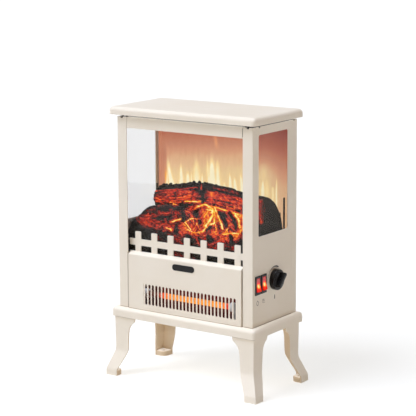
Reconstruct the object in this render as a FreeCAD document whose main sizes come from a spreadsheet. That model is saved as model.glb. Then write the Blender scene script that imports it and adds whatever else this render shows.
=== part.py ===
import FreeCAD, Part
import math
import os
import Sketcher
from FreeCAD import Vector, Rotation, Placement

# Free-standing electric stove heater with a flame-effect firebox.
# Frame: +Z up, the front faces -Y, +X is the user's right.
# Origin: centre of the floor footprint, z = 0 at the soles of the legs.

doc = FreeCAD.newDocument("stove_heater")

# ---------------------------------------------------------------- dimensions
ROWS = [
    # casing
    ("sheet_th", 1.2, "casing sheet thickness"),
    ("body_hw", 140.9, "casing half width"),
    ("body_front", 66.2, "casing front face, distance in -Y"),
    ("body_back", 73.2, "casing rear face, distance in +Y"),
    ("body_low", 124.75, "casing lower edge"),
    ("body_top", 465.0, "casing upper edge"),
    ("post_w", 19.7, "front return (corner post) width"),
    ("rear_lap", 17.0, "rear cover wrap on the sides"),
    ("joggle_len", 6.0, "overlap of the joggled side flange"),
    ("rear_ret", 14.5, "rear screw flange width"),
    ("foot_flange", 18.0, "bottom screw flange width"),
    # side windows
    ("win_y0", -48.3, "window front edge"),
    ("win_y1", 43.6, "window rear edge"),
    ("win_z0", 279.0, "window lower edge"),
    ("win_z1", 451.0, "window upper edge"),
    ("win_rad", 4.0, "window corner radius"),
    ("glass_th", 3.0, "glass thickness"),
    ("glass_lap", 4.0, "glass overlap behind the sheet"),
    # top
    ("top_hw", 152.6, "top cover half width"),
    ("top_hd", 78.2, "top cover half depth"),
    ("top_low", 469.3, "top cover rim underside"),
    ("top_high", 483.0, "overall height"),
    ("top_wall", 2.4, "top cover wall"),
    ("top_round", 7.5, "top cover edge rounding"),
    ("top_corner", 9.0, "top cover corner radius in plan"),
    ("deck_top", 462.5, "top deck upper face"),
    # base
    ("base_hw", 152.2, "base plate half width"),
    ("base_front", 77.0, "base plate front"),
    ("base_back", 80.5, "base plate rear"),
    ("base_low", 108.2, "base plate rim underside"),
    ("base_wall", 3.0, "base plate wall"),
    ("base_round", 6.5, "base plate upper edge rounding"),
    ("base_corner", 7.0, "base plate corner radius in plan"),
    ("boss_dia", 12.0, "leg screw boss diameter"),
    # front panel and fence
    ("panel_proud", 2.5, "front panel stands proud of the posts"),
    ("panel_th", 1.6, "front panel thickness"),
    ("panel_hw", 119.3, "front panel half width"),
    ("panel_face_top", 223.9, "top of the vertical face"),
    ("ledge_top", 227.0, "top of the sloping ledge"),
    ("grille_cx", 12.3, "grille centre in X"),
    ("grille_w", 197.0, "grille field width"),
    ("grille_z0", 132.7, "grille field lower edge"),
    ("grille_z1", 175.2, "grille field upper edge"),
    ("grille_sink", 0.6, "grille field depth"),
    ("slot_n", 26, "number of slots"),
    ("slot_pitch", 7.472, "slot pitch"),
    ("slot_w", 4.8, "slot width"),
    ("slot_z0", 135.6, "slot lower end"),
    ("slot_z1", 172.6, "slot upper end"),
    ("fence_y", 57.6, "picket fence front face, distance in -Y"),
    ("fence_th", 1.6, "picket fence thickness"),
    ("fence_hw", 123.4, "picket fence half width"),
    ("fence_low", 214.0, "fence foot strip lower edge"),
    ("fence_open0", 226.8, "openings lower edge"),
    ("fence_rail0", 237.7, "rail lower edge"),
    ("fence_rail1", 249.2, "rail upper edge"),
    ("picket_top", 262.6, "picket tips"),
    ("picket_w", 12.3, "picket width"),
    ("picket_pitch", 35.0, "picket pitch"),
    ("picket_n", 7, "number of pickets"),
    ("header_low", 445.9, "header lower edge"),
    ("header_l", 120.4, "header left end"),
    ("header_r", 119.8, "header right end"),
    ("badge_w", 46.0, "badge width"),
    ("badge_ht", 11.0, "badge height"),
    ("badge_z", 211.2, "badge centre height"),
    ("badge_th", 1.2, "badge thickness"),
    # firebox
    ("floor_top", 225.6, "firebox floor upper face"),
    ("screen_y", 59.0, "flame screen front face"),
    ("screen_th", 3.0, "flame screen thickness"),
    ("mask_top", 302.0, "flame mask upper edge"),
    # heater
    ("tube_y", -45.0, "heating tube axis Y"),
    ("tube_z", 150.0, "heating tube axis Z"),
    ("tube_rad", 5.0, "quartz tube outer radius"),
    ("tube_bore", 4.0, "quartz tube inner radius"),
    ("tube_x0", -99.0, "tube left end"),
    ("tube_x1", 94.0, "tube right end"),
    ("cap_rad", 8.0, "ceramic cap radius"),
    ("cap_len", 12.0, "ceramic cap length"),
    # controls
    ("sw_y1", -50.8, "front switch centre Y"),
    ("sw_y2", -32.5, "rear switch centre Y"),
    ("sw_z", 196.3, "switch centre Z"),
    ("sw_w", 15.6, "switch bezel width"),
    ("sw_ht", 32.4, "switch bezel height"),
    ("sw_cut_w", 13.2, "switch panel cut-out width"),
    ("sw_cut_ht", 28.6, "switch panel cut-out height"),
    ("rock_w", 10.2, "rocker width"),
    ("rock_tilt", 10.0, "rocker tilt each side of centre"),
    ("knob_y", 3.0, "knob axis Y"),
    ("knob_z", 197.0, "knob axis Z"),
    ("knob_rad", 18.0, "knob skirt radius"),
    ("bush_rad", 4.5, "thermostat bushing radius"),
    ("shaft_rad", 3.0, "thermostat shaft radius"),
    # flame drive
    ("spin_y", 46.0, "flame spindle axis Y"),
    ("spin_z", 203.0, "flame spindle axis Z"),
    ("spin_rad", 13.0, "flame spindle blade radius"),
    ("spin_shaft", 1.5, "flame spindle shaft radius"),
    # inlet
    ("gland_x", 92.0, "cord inlet X"),
    ("gland_z", 152.0, "cord inlet Z"),
    ("gland_rad", 8.0, "cord inlet body radius"),
    ("gland_bore", 3.6, "cord inlet bore radius"),
    # legs
    ("leg_hx", 159.4, "foot outer half width"),
    ("leg_hy", 85.0, "foot outer half depth"),
    ("leg_th", 2.4, "leg shell thickness"),
    ("leg_pad", 22.4, "foot block reach from the corner"),
    ("leg_pad_ht", 9.0, "foot block height"),
]

sheet = doc.addObject("Spreadsheet::Sheet", "Dims")
for row, (alias, value, note) in enumerate(ROWS, start=1):
    sheet.set("A%d" % row, note)
    sheet.set("B%d" % row, str(value))
    sheet.setAlias("B%d" % row, alias)
doc.recompute()


class Q:
    """A number together with the sheet expression that gives it."""

    def __init__(self, value, text):
        self.v = float(value)
        self.s = text

    def __add__(self, other):
        other = q(other)
        return Q(self.v + other.v, "(%s + %s)" % (self.s, other.s))

    def __radd__(self, other):
        return q(other) + self

    def __sub__(self, other):
        other = q(other)
        return Q(self.v - other.v, "(%s - %s)" % (self.s, other.s))

    def __rsub__(self, other):
        return q(other) - self

    def __mul__(self, other):
        other = q(other)
        return Q(self.v * other.v, "(%s * %s)" % (self.s, other.s))

    def __rmul__(self, other):
        return self * other

    def __truediv__(self, other):
        other = q(other)
        return Q(self.v / other.v, "(%s / %s)" % (self.s, other.s))

    def __neg__(self):
        return Q(-self.v, "(0 - %s)" % self.s)


def q(x):
    return x if isinstance(x, Q) else Q(x, repr(float(x)))


class Cells:
    def __getattr__(self, alias):
        return Q(sheet.get(alias), "Dims." + alias)


D = Cells()

nodes = []      # the objects that become files
cutters = []    # (feature, feature it cuts) for the volume check


def keep(obj, label):
    obj.Label = label
    nodes.append(obj)
    return obj


# ---------------------------------------------------------------- part design
def new_body(name):
    return doc.addObject("PartDesign::Body", name)


def origin_plane(body, role):
    for item in body.Origin.OriginFeatures:
        if item.Role == role:
            return item
    raise RuntimeError("no plane " + role)


def new_sketch(body, name, role, off=None):
    """Sketch on an origin plane. off moves it along the plane's normal:
    +Z for XY_Plane, -Y for XZ_Plane, +X for YZ_Plane."""
    sk = body.newObject("Sketcher::SketchObject", name)
    sk.AttachmentSupport = [(origin_plane(body, role), "")]
    sk.MapMode = "FlatFace"
    if off is not None:
        off = q(off)
        sk.AttachmentOffset = Placement(Vector(0, 0, off.v), Rotation())
        sk.setExpression("AttachmentOffset.Base.z", off.s)
    return sk


def fix(sk, kind, geo, pos, val):
    val = q(val)
    if kind == "Radius":
        k = sk.addConstraint(Sketcher.Constraint("Radius", geo, val.v))
        sk.setExpression("Constraints[%d]" % k, val.s)
        return
    if abs(val.v) < 1e-9:
        axis = -2 if kind == "DistanceX" else -1
        sk.addConstraint(Sketcher.Constraint("PointOnObject", geo, pos, axis))
        return
    k = sk.addConstraint(Sketcher.Constraint(kind, -1, 1, geo, pos, val.v))
    sk.setExpression("Constraints[%d]" % k, val.s)


def loop(sk, pts):
    """Closed polygon; every corner is placed by two bound dimensions."""
    pts = [(q(a), q(b)) for a, b in pts]
    n = len(pts)
    base = sk.GeometryCount
    for i in range(n):
        a, b = pts[i], pts[(i + 1) % n]
        sk.addGeometry(Part.LineSegment(Vector(a[0].v, a[1].v, 0), Vector(b[0].v, b[1].v, 0)), False)
    sk.addConstraint([Sketcher.Constraint("Coincident", base + i, 2, base + (i + 1) % n, 1) for i in range(n)])
    for i in range(n):
        fix(sk, "DistanceX", base + i, 1, pts[i][0])
        fix(sk, "DistanceY", base + i, 1, pts[i][1])


def rect(sk, x0, x1, y0, y1):
    loop(sk, [(x0, y0), (x1, y0), (x1, y1), (x0, y1)])


def round_rect(sk, x0, x1, y0, y1, r):
    x0, x1, y0, y1, r = q(x0), q(x1), q(y0), q(y1), q(r)
    base = sk.GeometryCount
    cx = [x1 - r, x1 - r, x0 + r, x0 + r]
    cy = [y0 + r, y1 - r, y1 - r, y0 + r]
    z = Vector(0, 0, 1)
    ends = []
    for i in range(4):
        a0 = -math.pi / 2 + i * math.pi / 2
        sk.addGeometry(Part.ArcOfCircle(Part.Circle(Vector(cx[i].v, cy[i].v, 0), z, r.v), a0, a0 + math.pi / 2), False)
        ends.append((cx[i].v + r.v * math.cos(a0), cy[i].v + r.v * math.sin(a0),
                     cx[i].v + r.v * math.cos(a0 + math.pi / 2), cy[i].v + r.v * math.sin(a0 + math.pi / 2)))
    for i in range(4):
        e, f = ends[i], ends[(i + 1) % 4]
        sk.addGeometry(Part.LineSegment(Vector(e[2], e[3], 0), Vector(f[0], f[1], 0)), False)
    for i in range(4):
        sk.addConstraint(Sketcher.Constraint("Tangent", base + i, 2, base + 4 + i, 1))
        sk.addConstraint(Sketcher.Constraint("Tangent", base + 4 + i, 2, base + (i + 1) % 4, 1))
    for i in range(4):
        fix(sk, "Radius", base + i, 0, r)
        fix(sk, "DistanceX", base + i, 3, cx[i])
        fix(sk, "DistanceY", base + i, 3, cy[i])


def slot_up(sk, cx, y0, y1, w):
    """Upright slot with round ends."""
    cx, y0, y1, w = q(cx), q(y0), q(y1), q(w)
    r = w / 2
    base = sk.GeometryCount
    z = Vector(0, 0, 1)
    lo, hi = y0 + r, y1 - r
    sk.addGeometry(Part.ArcOfCircle(Part.Circle(Vector(cx.v, hi.v, 0), z, r.v), 0, math.pi), False)
    sk.addGeometry(Part.ArcOfCircle(Part.Circle(Vector(cx.v, lo.v, 0), z, r.v), math.pi, 2 * math.pi), False)
    sk.addGeometry(Part.LineSegment(Vector(cx.v - r.v, hi.v, 0), Vector(cx.v - r.v, lo.v, 0)), False)
    sk.addGeometry(Part.LineSegment(Vector(cx.v + r.v, lo.v, 0), Vector(cx.v + r.v, hi.v, 0)), False)
    for a, pa, b, pb in ((0, 2, 2, 1), (2, 2, 1, 1), (1, 2, 3, 1), (3, 2, 0, 1)):
        sk.addConstraint(Sketcher.Constraint("Tangent", base + a, pa, base + b, pb))
    for g, cy in ((0, hi), (1, lo)):
        fix(sk, "Radius", base + g, 0, r)
        fix(sk, "DistanceX", base + g, 3, cx)
        fix(sk, "DistanceY", base + g, 3, cy)


def slot_flat(sk, x0, x1, cy, w):
    """Level slot with round ends."""
    x0, x1, cy, w = q(x0), q(x1), q(cy), q(w)
    r = w / 2
    base = sk.GeometryCount
    z = Vector(0, 0, 1)
    lo, hi = x0 + r, x1 - r
    sk.addGeometry(Part.ArcOfCircle(Part.Circle(Vector(lo.v, cy.v, 0), z, r.v), math.pi / 2, 3 * math.pi / 2), False)
    sk.addGeometry(Part.ArcOfCircle(Part.Circle(Vector(hi.v, cy.v, 0), z, r.v), -math.pi / 2, math.pi / 2), False)
    sk.addGeometry(Part.LineSegment(Vector(lo.v, cy.v - r.v, 0), Vector(hi.v, cy.v - r.v, 0)), False)
    sk.addGeometry(Part.LineSegment(Vector(hi.v, cy.v + r.v, 0), Vector(lo.v, cy.v + r.v, 0)), False)
    for a, pa, b, pb in ((0, 2, 2, 1), (2, 2, 1, 1), (1, 2, 3, 1), (3, 2, 0, 1)):
        sk.addConstraint(Sketcher.Constraint("Tangent", base + a, pa, base + b, pb))
    for g, gx in ((0, lo), (1, hi)):
        fix(sk, "Radius", base + g, 0, r)
        fix(sk, "DistanceX", base + g, 3, gx)
        fix(sk, "DistanceY", base + g, 3, cy)


def circle(sk, cx, cy, r):
    cx, cy, r = q(cx), q(cy), q(r)
    g = sk.addGeometry(Part.Circle(Vector(cx.v, cy.v, 0), Vector(0, 0, 1), r.v), False)
    fix(sk, "Radius", g, 0, r)
    fix(sk, "DistanceX", g, 3, cx)
    fix(sk, "DistanceY", g, 3, cy)


def pad(body, sk, length, rev=False):
    length = q(length)
    f = body.newObject("PartDesign::Pad", sk.Name + "_pad")
    f.Profile = (sk, [""])
    f.Length = length.v
    f.setExpression("Length", length.s)
    f.Reversed = rev
    return f


def pocket(body, sk, length, rev=False):
    length = q(length)
    before = body.Tip
    f = body.newObject("PartDesign::Pocket", sk.Name + "_cut")
    f.Profile = (sk, [""])
    f.Length = length.v
    f.setExpression("Length", length.s)
    f.Reversed = rev
    cutters.append((f, before))
    return f


def pattern(body, feature, direction, length, count):
    length, count = q(length), q(count)
    f = body.newObject("PartDesign::LinearPattern", feature.Name + "_row")
    f.Originals = [feature]
    f.Direction = direction
    f.Length = length.v
    f.setExpression("Length", length.s)
    f.Occurrences = int(count.v)
    f.setExpression("Occurrences", count.s)
    body.Tip = f
    return f


def edges(feature, test):
    found = []
    for i, edge in enumerate(feature.Shape.Edges, start=1):
        if test(edge):
            found.append("Edge%d" % i)
    if not found:
        raise RuntimeError("no edges found on " + feature.Name)
    return found


def along(edge, axis):
    p, r = edge.Vertexes[0].Point, edge.Vertexes[-1].Point
    if len(edge.Vertexes) < 2:
        return False
    t = (r - p)
    if t.Length < 1e-6:
        return False
    t.normalize()
    return abs(abs(t[axis]) - 1) < 1e-6


def fillet(body, feature, names, radius):
    radius = q(radius)
    f = body.newObject("PartDesign::Fillet", feature.Name + "_round")
    f.Base = (feature, names)
    f.Radius = radius.v
    f.setExpression("Radius", radius.s)
    return f


# ---------------------------------------------------------------- primitives
def bind(obj, prop, val):
    val = q(val)
    obj.setExpression(prop, val.s)
    return val.v


def place(obj, x, y, z, rot=None):
    x, y, z = q(x), q(y), q(z)
    obj.Placement = Placement(Vector(x.v, y.v, z.v), rot or Rotation())
    obj.setExpression("Placement.Base.x", x.s)
    obj.setExpression("Placement.Base.y", y.s)
    obj.setExpression("Placement.Base.z", z.s)
    return obj


def box(name, x0, x1, y0, y1, z0, z1):
    o = doc.addObject("Part::Box", name)
    x0, x1, y0, y1, z0, z1 = [q(k) for k in (x0, x1, y0, y1, z0, z1)]
    for prop, a, b in (("Length", x0, x1), ("Width", y0, y1), ("Height", z0, z1)):
        setattr(o, prop, (b - a).v)
        o.setExpression(prop, (b - a).s)
    return place(o, x0, y0, z0)


AXES = {"x": Rotation(Vector(0, 1, 0), 90), "y": Rotation(Vector(1, 0, 0), -90), "z": Rotation()}


def cyl(name, axis, a, b, at0, at1, r):
    """Cylinder along an axis. a, b: the other two coordinates in X, Y, Z order."""
    a, b, at0, at1, r = [q(k) for k in (a, b, at0, at1, r)]
    o = doc.addObject("Part::Cylinder", name)
    o.Radius = r.v
    o.setExpression("Radius", r.s)
    o.Height = (at1 - at0).v
    o.setExpression("Height", (at1 - at0).s)
    if axis == "x":
        return place(o, at0, a, b, AXES["x"])
    if axis == "y":
        return place(o, a, at0, b, AXES["y"])
    return place(o, a, b, at0, AXES["z"])


def cut(name, base, tool):
    o = doc.addObject("Part::Cut", name)
    o.Base = base
    o.Tool = tool
    cutters.append((o, base))
    return o


def fuse(name, items):
    o = doc.addObject("Part::MultiFuse", name)
    o.Shapes = items
    return o


def group(name, items):
    """Identical loose pieces in one node: a compound of separate solids."""
    o = doc.addObject("Part::Compound", name)
    o.Links = items
    return o


T = D.sheet_th
REACH = 20.0     # generous cutter length for thin sheets

# ================================================================ side panels
def side_panel(side):
    """Folded sheet: front post, wall with window, joggled rear flange,
    rear screw flange and bottom screw flange. side = +1 right, -1 left."""
    s = "r" if side > 0 else "l"
    b = new_body("side_" + s)
    X = (lambda v: q(v)) if side > 0 else (lambda v: -q(v))
    hw, yf, yb = D.body_hw, -D.body_front, D.body_back
    seam = yb - D.rear_lap
    sk = new_sketch(b, "prof_" + s, "XY_Plane", D.body_low)
    pts = [
        (hw, yf), (hw, seam),
        (hw - T, seam), (hw - T, yb - T),
        (hw - T * 2 - (D.rear_ret - T * 2), yb - T), (hw - T * 2 - (D.rear_ret - T * 2), yb - T * 2),
        (hw - T * 2, yb - T * 2), (hw - T * 2, seam - D.joggle_len),
        (hw - T, seam - D.joggle_len), (hw - T, yf + T),
        (hw - D.post_w, yf + T), (hw - D.post_w, yf),
    ]
    loop(sk, [(X(px), py) for px, py in pts])
    wall = pad(b, sk, D.body_top - D.body_low)
    doc.recompute()
    rounded = fillet(b, wall, edges(wall, lambda e: along(e, 2) and abs(abs(e.Vertexes[0].X) - hw.v) < 1e-4
                                    and abs(e.Vertexes[0].Y - yf.v) < 1e-4), 0.9)
    # bottom screw flange
    sk = new_sketch(b, "foot_" + s, "XY_Plane", D.body_low)
    rect(sk, X(hw - T) if side > 0 else X(hw - T - D.foot_flange), X(hw - T - D.foot_flange) if side > 0 else X(hw - T),
         yf + T, q(44.0))
    pad(b, sk, T)
    # window
    sk = new_sketch(b, "win_" + s, "YZ_Plane", X(hw + 5))
    round_rect(sk, D.win_y0, D.win_y1, D.win_z0, D.win_z1, D.win_rad)
    pocket(b, sk, REACH, rev=(side < 0))
    # screw holes in the foot flange
    sk = new_sketch(b, "footholes_" + s, "XY_Plane", D.body_low + 5)
    circle(sk, X(hw - 11), q(-22.0), 2.0)
    circle(sk, X(hw - 11), q(24.0), 2.0)
    pocket(b, sk, REACH)
    # screw holes in the rear flange
    sk = new_sketch(b, "backholes_" + s, "XZ_Plane", -(yb - T))
    for hz in (145.0, 295.0, 445.0):
        circle(sk, X(hw - 9), q(hz), 1.6)
    pocket(b, sk, T + 3, rev=True)
    # notches in the upper edge over the cover spacers
    sk = new_sketch(b, "notch_" + s, "YZ_Plane", X(hw + 5))
    for cy in (-45.0, 63.0):
        rect(sk, q(cy - 2.6), q(cy + 2.6), D.body_top - 2.5, D.body_top + 3)
    pocket(b, sk, 7.5, rev=(side < 0))
    sk = new_sketch(b, "notchf_" + s, "XZ_Plane", D.body_front + 5)
    rect(sk, *((X(q(128.4)), X(q(133.6))) if side > 0 else (X(q(133.6)), X(q(128.4)))), D.body_top - 2.5, D.body_top + 3)
    pocket(b, sk, 8.0)
    if side > 0:
        sk = new_sketch(b, "controls", "YZ_Plane", hw + 5)
        for cy in (D.sw_y1, D.sw_y2):
            rect(sk, cy - D.sw_cut_w / 2, cy + D.sw_cut_w / 2, D.sw_z - D.sw_cut_ht / 2, D.sw_z + D.sw_cut_ht / 2)
        circle(sk, D.knob_y, D.knob_z, D.bush_rad + 0.1)
        pocket(b, sk, REACH)
    return b


keep(side_panel(+1), "right_side_panel")
keep(side_panel(-1), "left_side_panel")

# ================================================================ rear cover
b = new_body("rear")
hw, yb = D.body_hw, D.body_back
seam = yb - D.rear_lap + 0.3
sk = new_sketch(b, "rear_prof", "XY_Plane", D.body_low)
loop(sk, [(-hw, yb), (-hw, seam), (-hw + T, seam), (-hw + T, yb - T),
          (hw - T, yb - T), (hw - T, seam), (hw, seam), (hw, yb)])
wall = pad(b, sk, D.body_top - D.body_low)
doc.recompute()
fillet(b, wall, edges(wall, lambda e: along(e, 2) and abs(abs(e.Vertexes[0].X) - hw.v) < 1e-4
                      and abs(e.Vertexes[0].Y - yb.v) < 1e-4), 0.9)
sk = new_sketch(b, "rear_vent", "XZ_Plane", -(yb + 5))
slot_flat(sk, q(-95.0), q(-20.0), q(150.0), 4.0)
vent = pocket(b, sk, REACH, rev=True)
pattern(b, vent, (sk, ["V_Axis"]), q(45.0), q(6))
sk = new_sketch(b, "rear_vent_top", "XZ_Plane", -(yb + 5))
slot_flat(sk, q(-40.0), q(40.0), q(410.0), 4.0)
vent = pocket(b, sk, REACH, rev=True)
pattern(b, vent, (sk, ["V_Axis"]), q(36.0), q(5))
sk = new_sketch(b, "rear_holes", "XZ_Plane", -(yb + 5))
circle(sk, D.gland_x, D.gland_z, D.gland_rad + 0.1)
for sx in (-1, 1):
    for hz in (145.0, 295.0, 445.0):
        circle(sk, (D.body_hw - 9) * sx, q(hz), 1.7)
pocket(b, sk, REACH, rev=True)
sk = new_sketch(b, "rear_notch", "YZ_Plane", D.body_hw + 5)
rect(sk, q(60.4), q(65.6), D.body_top - 2.5, D.body_top + 3)
pocket(b, sk, 2 * D.body_hw + 10)
keep(b, "rear_cover")

# ================================================================ header bar
b = new_body("header")
sk = new_sketch(b, "header_prof", "YZ_Plane", -D.header_l)
yf = -D.body_front
loop(sk, [(yf, D.header_low), (yf + 9, D.header_low), (yf + 9, D.header_low + T), (yf + T, D.header_low + T),
          (yf + T, D.body_top - T), (yf + 9, D.body_top - T), (yf + 9, D.body_top), (yf, D.body_top)])
wall = pad(b, sk, D.header_l + D.header_r)
doc.recompute()
fillet(b, wall, edges(wall, lambda e: along(e, 0) and abs(e.Vertexes[0].Y - yf.v) < 1e-4), 0.9)
keep(b, "header_bar")

# ================================================================ top deck
b = new_body("deck")
sk = new_sketch(b, "deck_plan", "XY_Plane", D.deck_top)
loop(sk, [(-D.body_hw + T * 2, yb - T * 2), (-D.body_hw + T * 2, -D.body_front + 10.2), (D.body_hw - T * 2, -D.body_front + 10.2),
          (D.body_hw - T * 2, yb - T * 2)])
pad(b, sk, T, rev=True)
sk = new_sketch(b, "deck_lip", "YZ_Plane", -D.body_hw + 24)
y0 = -D.body_front + 9.0
rect(sk, y0, y0 + T, D.header_low, D.deck_top)
pad(b, sk, 2 * D.body_hw - 48)
sk = new_sketch(b, "deck_ears", "XY_Plane", D.deck_top)
for sx in (-1, 1):
    if sx > 0:
        rect(sk, D.body_hw - 20, D.body_hw - 1.3, -D.body_front + T + 0.1, -D.body_front + 10.2)
    else:
        rect(sk, -D.body_hw + 1.3, -D.body_hw + 20, -D.body_front + T + 0.1, -D.body_front + 10.2)
pad(b, sk, T, rev=True)
keep(b, "top_deck")

# ================================================================ top cover
b = new_body("cover")
sk = new_sketch(b, "cover_plan", "XY_Plane", D.top_low)
round_rect(sk, -D.top_hw, D.top_hw, -D.top_hd, D.top_hd, D.top_corner)
slab = pad(b, sk, D.top_high - D.top_low)
doc.recompute()
f = fillet(b, slab, edges(slab, lambda e: all(abs(v.Z - D.top_high.v) < 1e-4 for v in e.Vertexes)), D.top_round)
sk = new_sketch(b, "cover_under", "XY_Plane", D.top_low)
w = D.top_wall
round_rect(sk, -D.top_hw + w, D.top_hw - w, -D.top_hd + w, D.top_hd - w, D.top_corner - w)
hollow = pocket(b, sk, D.top_high - D.top_low - w, rev=True)
doc.recompute()
zc = (D.top_high - w).v
f = fillet(b, hollow, edges(hollow, lambda e: all(abs(v.Z - zc) < 1e-4 for v in e.Vertexes)), D.top_round - w)
keep(b, "top_cover")

posts = []
for i, (px, py) in enumerate(((131.0, -61.7), (-131.0, -61.7), (136.2, -45.0), (-136.2, -45.0), (136.0, 62.6), (-136.0, 62.6))):
    post = cyl("spacer%d" % i, "z", q(px), q(py), D.deck_top, D.top_high - D.top_wall, 2.4)
    posts.append(post)
keep(group("spacers", posts), "cover_spacers")

# ================================================================ base plate
b = new_body("base")
sk = new_sketch(b, "base_plan", "XY_Plane", D.base_low)
round_rect(sk, -D.base_hw, D.base_hw, -D.base_front, D.base_back, D.base_corner)
slab = pad(b, sk, D.body_low - D.base_low)
doc.recompute()
f = fillet(b, slab, edges(slab, lambda e: all(abs(v.Z - D.body_low.v) < 1e-4 for v in e.Vertexes)), D.base_round)
sk = new_sketch(b, "base_under", "XY_Plane", D.base_low)
w = D.base_wall
round_rect(sk, -D.base_hw + w, D.base_hw - w, -D.base_front + w, D.base_back - w, D.base_corner - w)
pocket(b, sk, D.body_low - D.base_low - w, rev=True)
LEG_SCREWS = [(30.0, 12.5), (12.5, 30.0)]
LEG_X, LEG_Y = 147.2, 72.8     # leg corner at its top
sk = new_sketch(b, "base_bosses", "XY_Plane", D.base_low)
for sx in (-1, 1):
    for sy in (-1, 1):
        for dx, dy in LEG_SCREWS:
            circle(sk, q(sx * (LEG_X - dx)), q(sy * (LEG_Y - dy)), D.boss_dia / 2)
pad(b, sk, D.body_low - D.base_low - w)
sk = new_sketch(b, "base_pilot", "XY_Plane", D.base_low)
for sx in (-1, 1):
    for sy in (-1, 1):
        for dx, dy in LEG_SCREWS:
            circle(sk, q(sx * (LEG_X - dx)), q(sy * (LEG_Y - dy)), 2.05)
pocket(b, sk, 10.5, rev=True)
sk = new_sketch(b, "base_screw_holes", "XY_Plane", D.body_low)
for sx in (-1, 1):
    for hy in (-22.0, 24.0):
        circle(sk, (D.body_hw - 11) * sx, q(hy), 2.1)
pocket(b, sk, D.base_wall + 2)
keep(b, "base_plate")

screws = []
n = 0
for sx in (-1, 1):
    for hy in (-22.0, 24.0):
        head = cyl("bs_head%d" % n, "z", (D.body_hw - 11) * sx, q(hy), D.body_low - w - 2, D.body_low - w, 3.8)
        shank = cyl("bs_shank%d" % n, "z", (D.body_hw - 11) * sx, q(hy), D.body_low - w - 0.5, D.body_low + 6, 1.95)
        screws.append(fuse("bs%d" % n, [head, shank]))
        n += 1
keep(group("base_screw_set", screws), "base_screws")

# ================================================================ front panel
b = new_body("panel")
pt = D.panel_th
pf = -D.body_front - D.panel_proud
fy = -D.fence_y
sk = new_sketch(b, "panel_prof", "YZ_Plane", -D.panel_hw)
loop(sk, [(pf, D.body_low), (pf + pt, D.body_low), (pf + pt, D.panel_face_top - 1.1), (fy, D.ledge_top - pt * 1.06),
          (fy, D.ledge_top), (pf, D.panel_face_top)])
wall = pad(b, sk, 2 * D.panel_hw)
doc.recompute()
f = fillet(b, wall, edges(wall, lambda e: along(e, 0) and abs(e.Vertexes[0].Y - pf.v) < 1e-4
                          and abs(e.Vertexes[0].Z - D.panel_face_top.v) < 1e-4), 3.0)
# end returns
sk = new_sketch(b, "panel_ends", "XZ_Plane", -(pf + pt))
for sx in (-1, 1):
    x0 = -D.panel_hw if sx < 0 else D.panel_hw - pt
    rect(sk, x0, x0 + pt, D.body_low, D.panel_face_top - 2)
pad(b, sk, q(7.0), rev=True)
doc.recompute()
tip = b.Tip
fillet(b, tip, edges(tip, lambda e: along(e, 2) and abs(abs(e.Vertexes[0].X) - D.panel_hw.v) < 1e-4
                     and abs(e.Vertexes[0].Y - pf.v) < 1e-4), 0.8)
# sunk grille field
sk = new_sketch(b, "grille_field", "XZ_Plane", -pf)
round_rect(sk, D.grille_cx - D.grille_w / 2, D.grille_cx + D.grille_w / 2, D.grille_z0, D.grille_z1, 1.5)
pocket(b, sk, D.grille_sink)
sk = new_sketch(b, "grille_slot", "XZ_Plane", -pf)
slot_up(sk, D.grille_cx - D.slot_pitch * (D.slot_n - 1) / 2, D.slot_z0, D.slot_z1, D.slot_w)
slot = pocket(b, sk, q(2.5))
pattern(b, slot, (sk, ["H_Axis"]), D.slot_pitch * (D.slot_n - 1), D.slot_n)
keep(b, "front_panel")

b = new_body("badge_body")
sk = new_sketch(b, "badge_prof", "XZ_Plane", -pf)
round_rect(sk, -D.badge_w / 2, D.badge_w / 2, D.badge_z - D.badge_ht / 2, D.badge_z + D.badge_ht / 2, D.badge_ht / 2 - 0.2)
plate = pad(b, sk, D.badge_th)
doc.recompute()
fillet(b, plate, edges(plate, lambda e: all(abs(v.Y - (pf - D.badge_th).v) < 1e-4 for v in e.Vertexes)), 0.5)
keep(b, "badge")

# ================================================================ picket fence
b = new_body("fence")
sk = new_sketch(b, "fence_foot", "XZ_Plane", -fy)
rect(sk, -D.fence_hw, D.fence_hw, D.fence_low, D.fence_open0)
pad(b, sk, D.fence_th, rev=True)
x0 = -D.picket_pitch * (D.picket_n - 1) / 2
sk = new_sketch(b, "picket", "XZ_Plane", -fy)
round_rect(sk, x0 - D.picket_w / 2, x0 + D.picket_w / 2, D.fence_open0 - 4, D.picket_top, 1.6)
one = pad(b, sk, D.fence_th, rev=True)
pattern(b, one, (sk, ["H_Axis"]), D.picket_pitch * (D.picket_n - 1), D.picket_n)
sk = new_sketch(b, "rail", "XZ_Plane", -fy)
rect(sk, -D.fence_hw, D.fence_hw, D.fence_rail0, D.fence_rail1)
pad(b, sk, D.fence_th, rev=True)
keep(b, "picket_fence")


# ================================================================ glazing
gl, gt = D.glass_lap, D.glass_th
xin = D.body_hw - T
for side, label in ((1, "right_glass"), (-1, "left_glass")):
    b = new_body("pane_" + label)
    x = xin - gt if side > 0 else -xin
    sk = new_sketch(b, "plan_" + label, "YZ_Plane", x)
    round_rect(sk, D.win_y0 - gl, D.win_y1 + gl, D.win_z0 - gl, D.win_z1 + gl, 3.0)
    pane = pad(b, sk, gt)
    keep(b, label)

b = new_body("pane_front")
sk = new_sketch(b, "plan_front", "XZ_Plane", D.fence_y - D.fence_th)
round_rect(sk, q(-127.0), q(127.0), D.floor_top, q(459.0), 2.0)
pad(b, sk, gt, rev=True)
keep(b, "front_glass")

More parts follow.
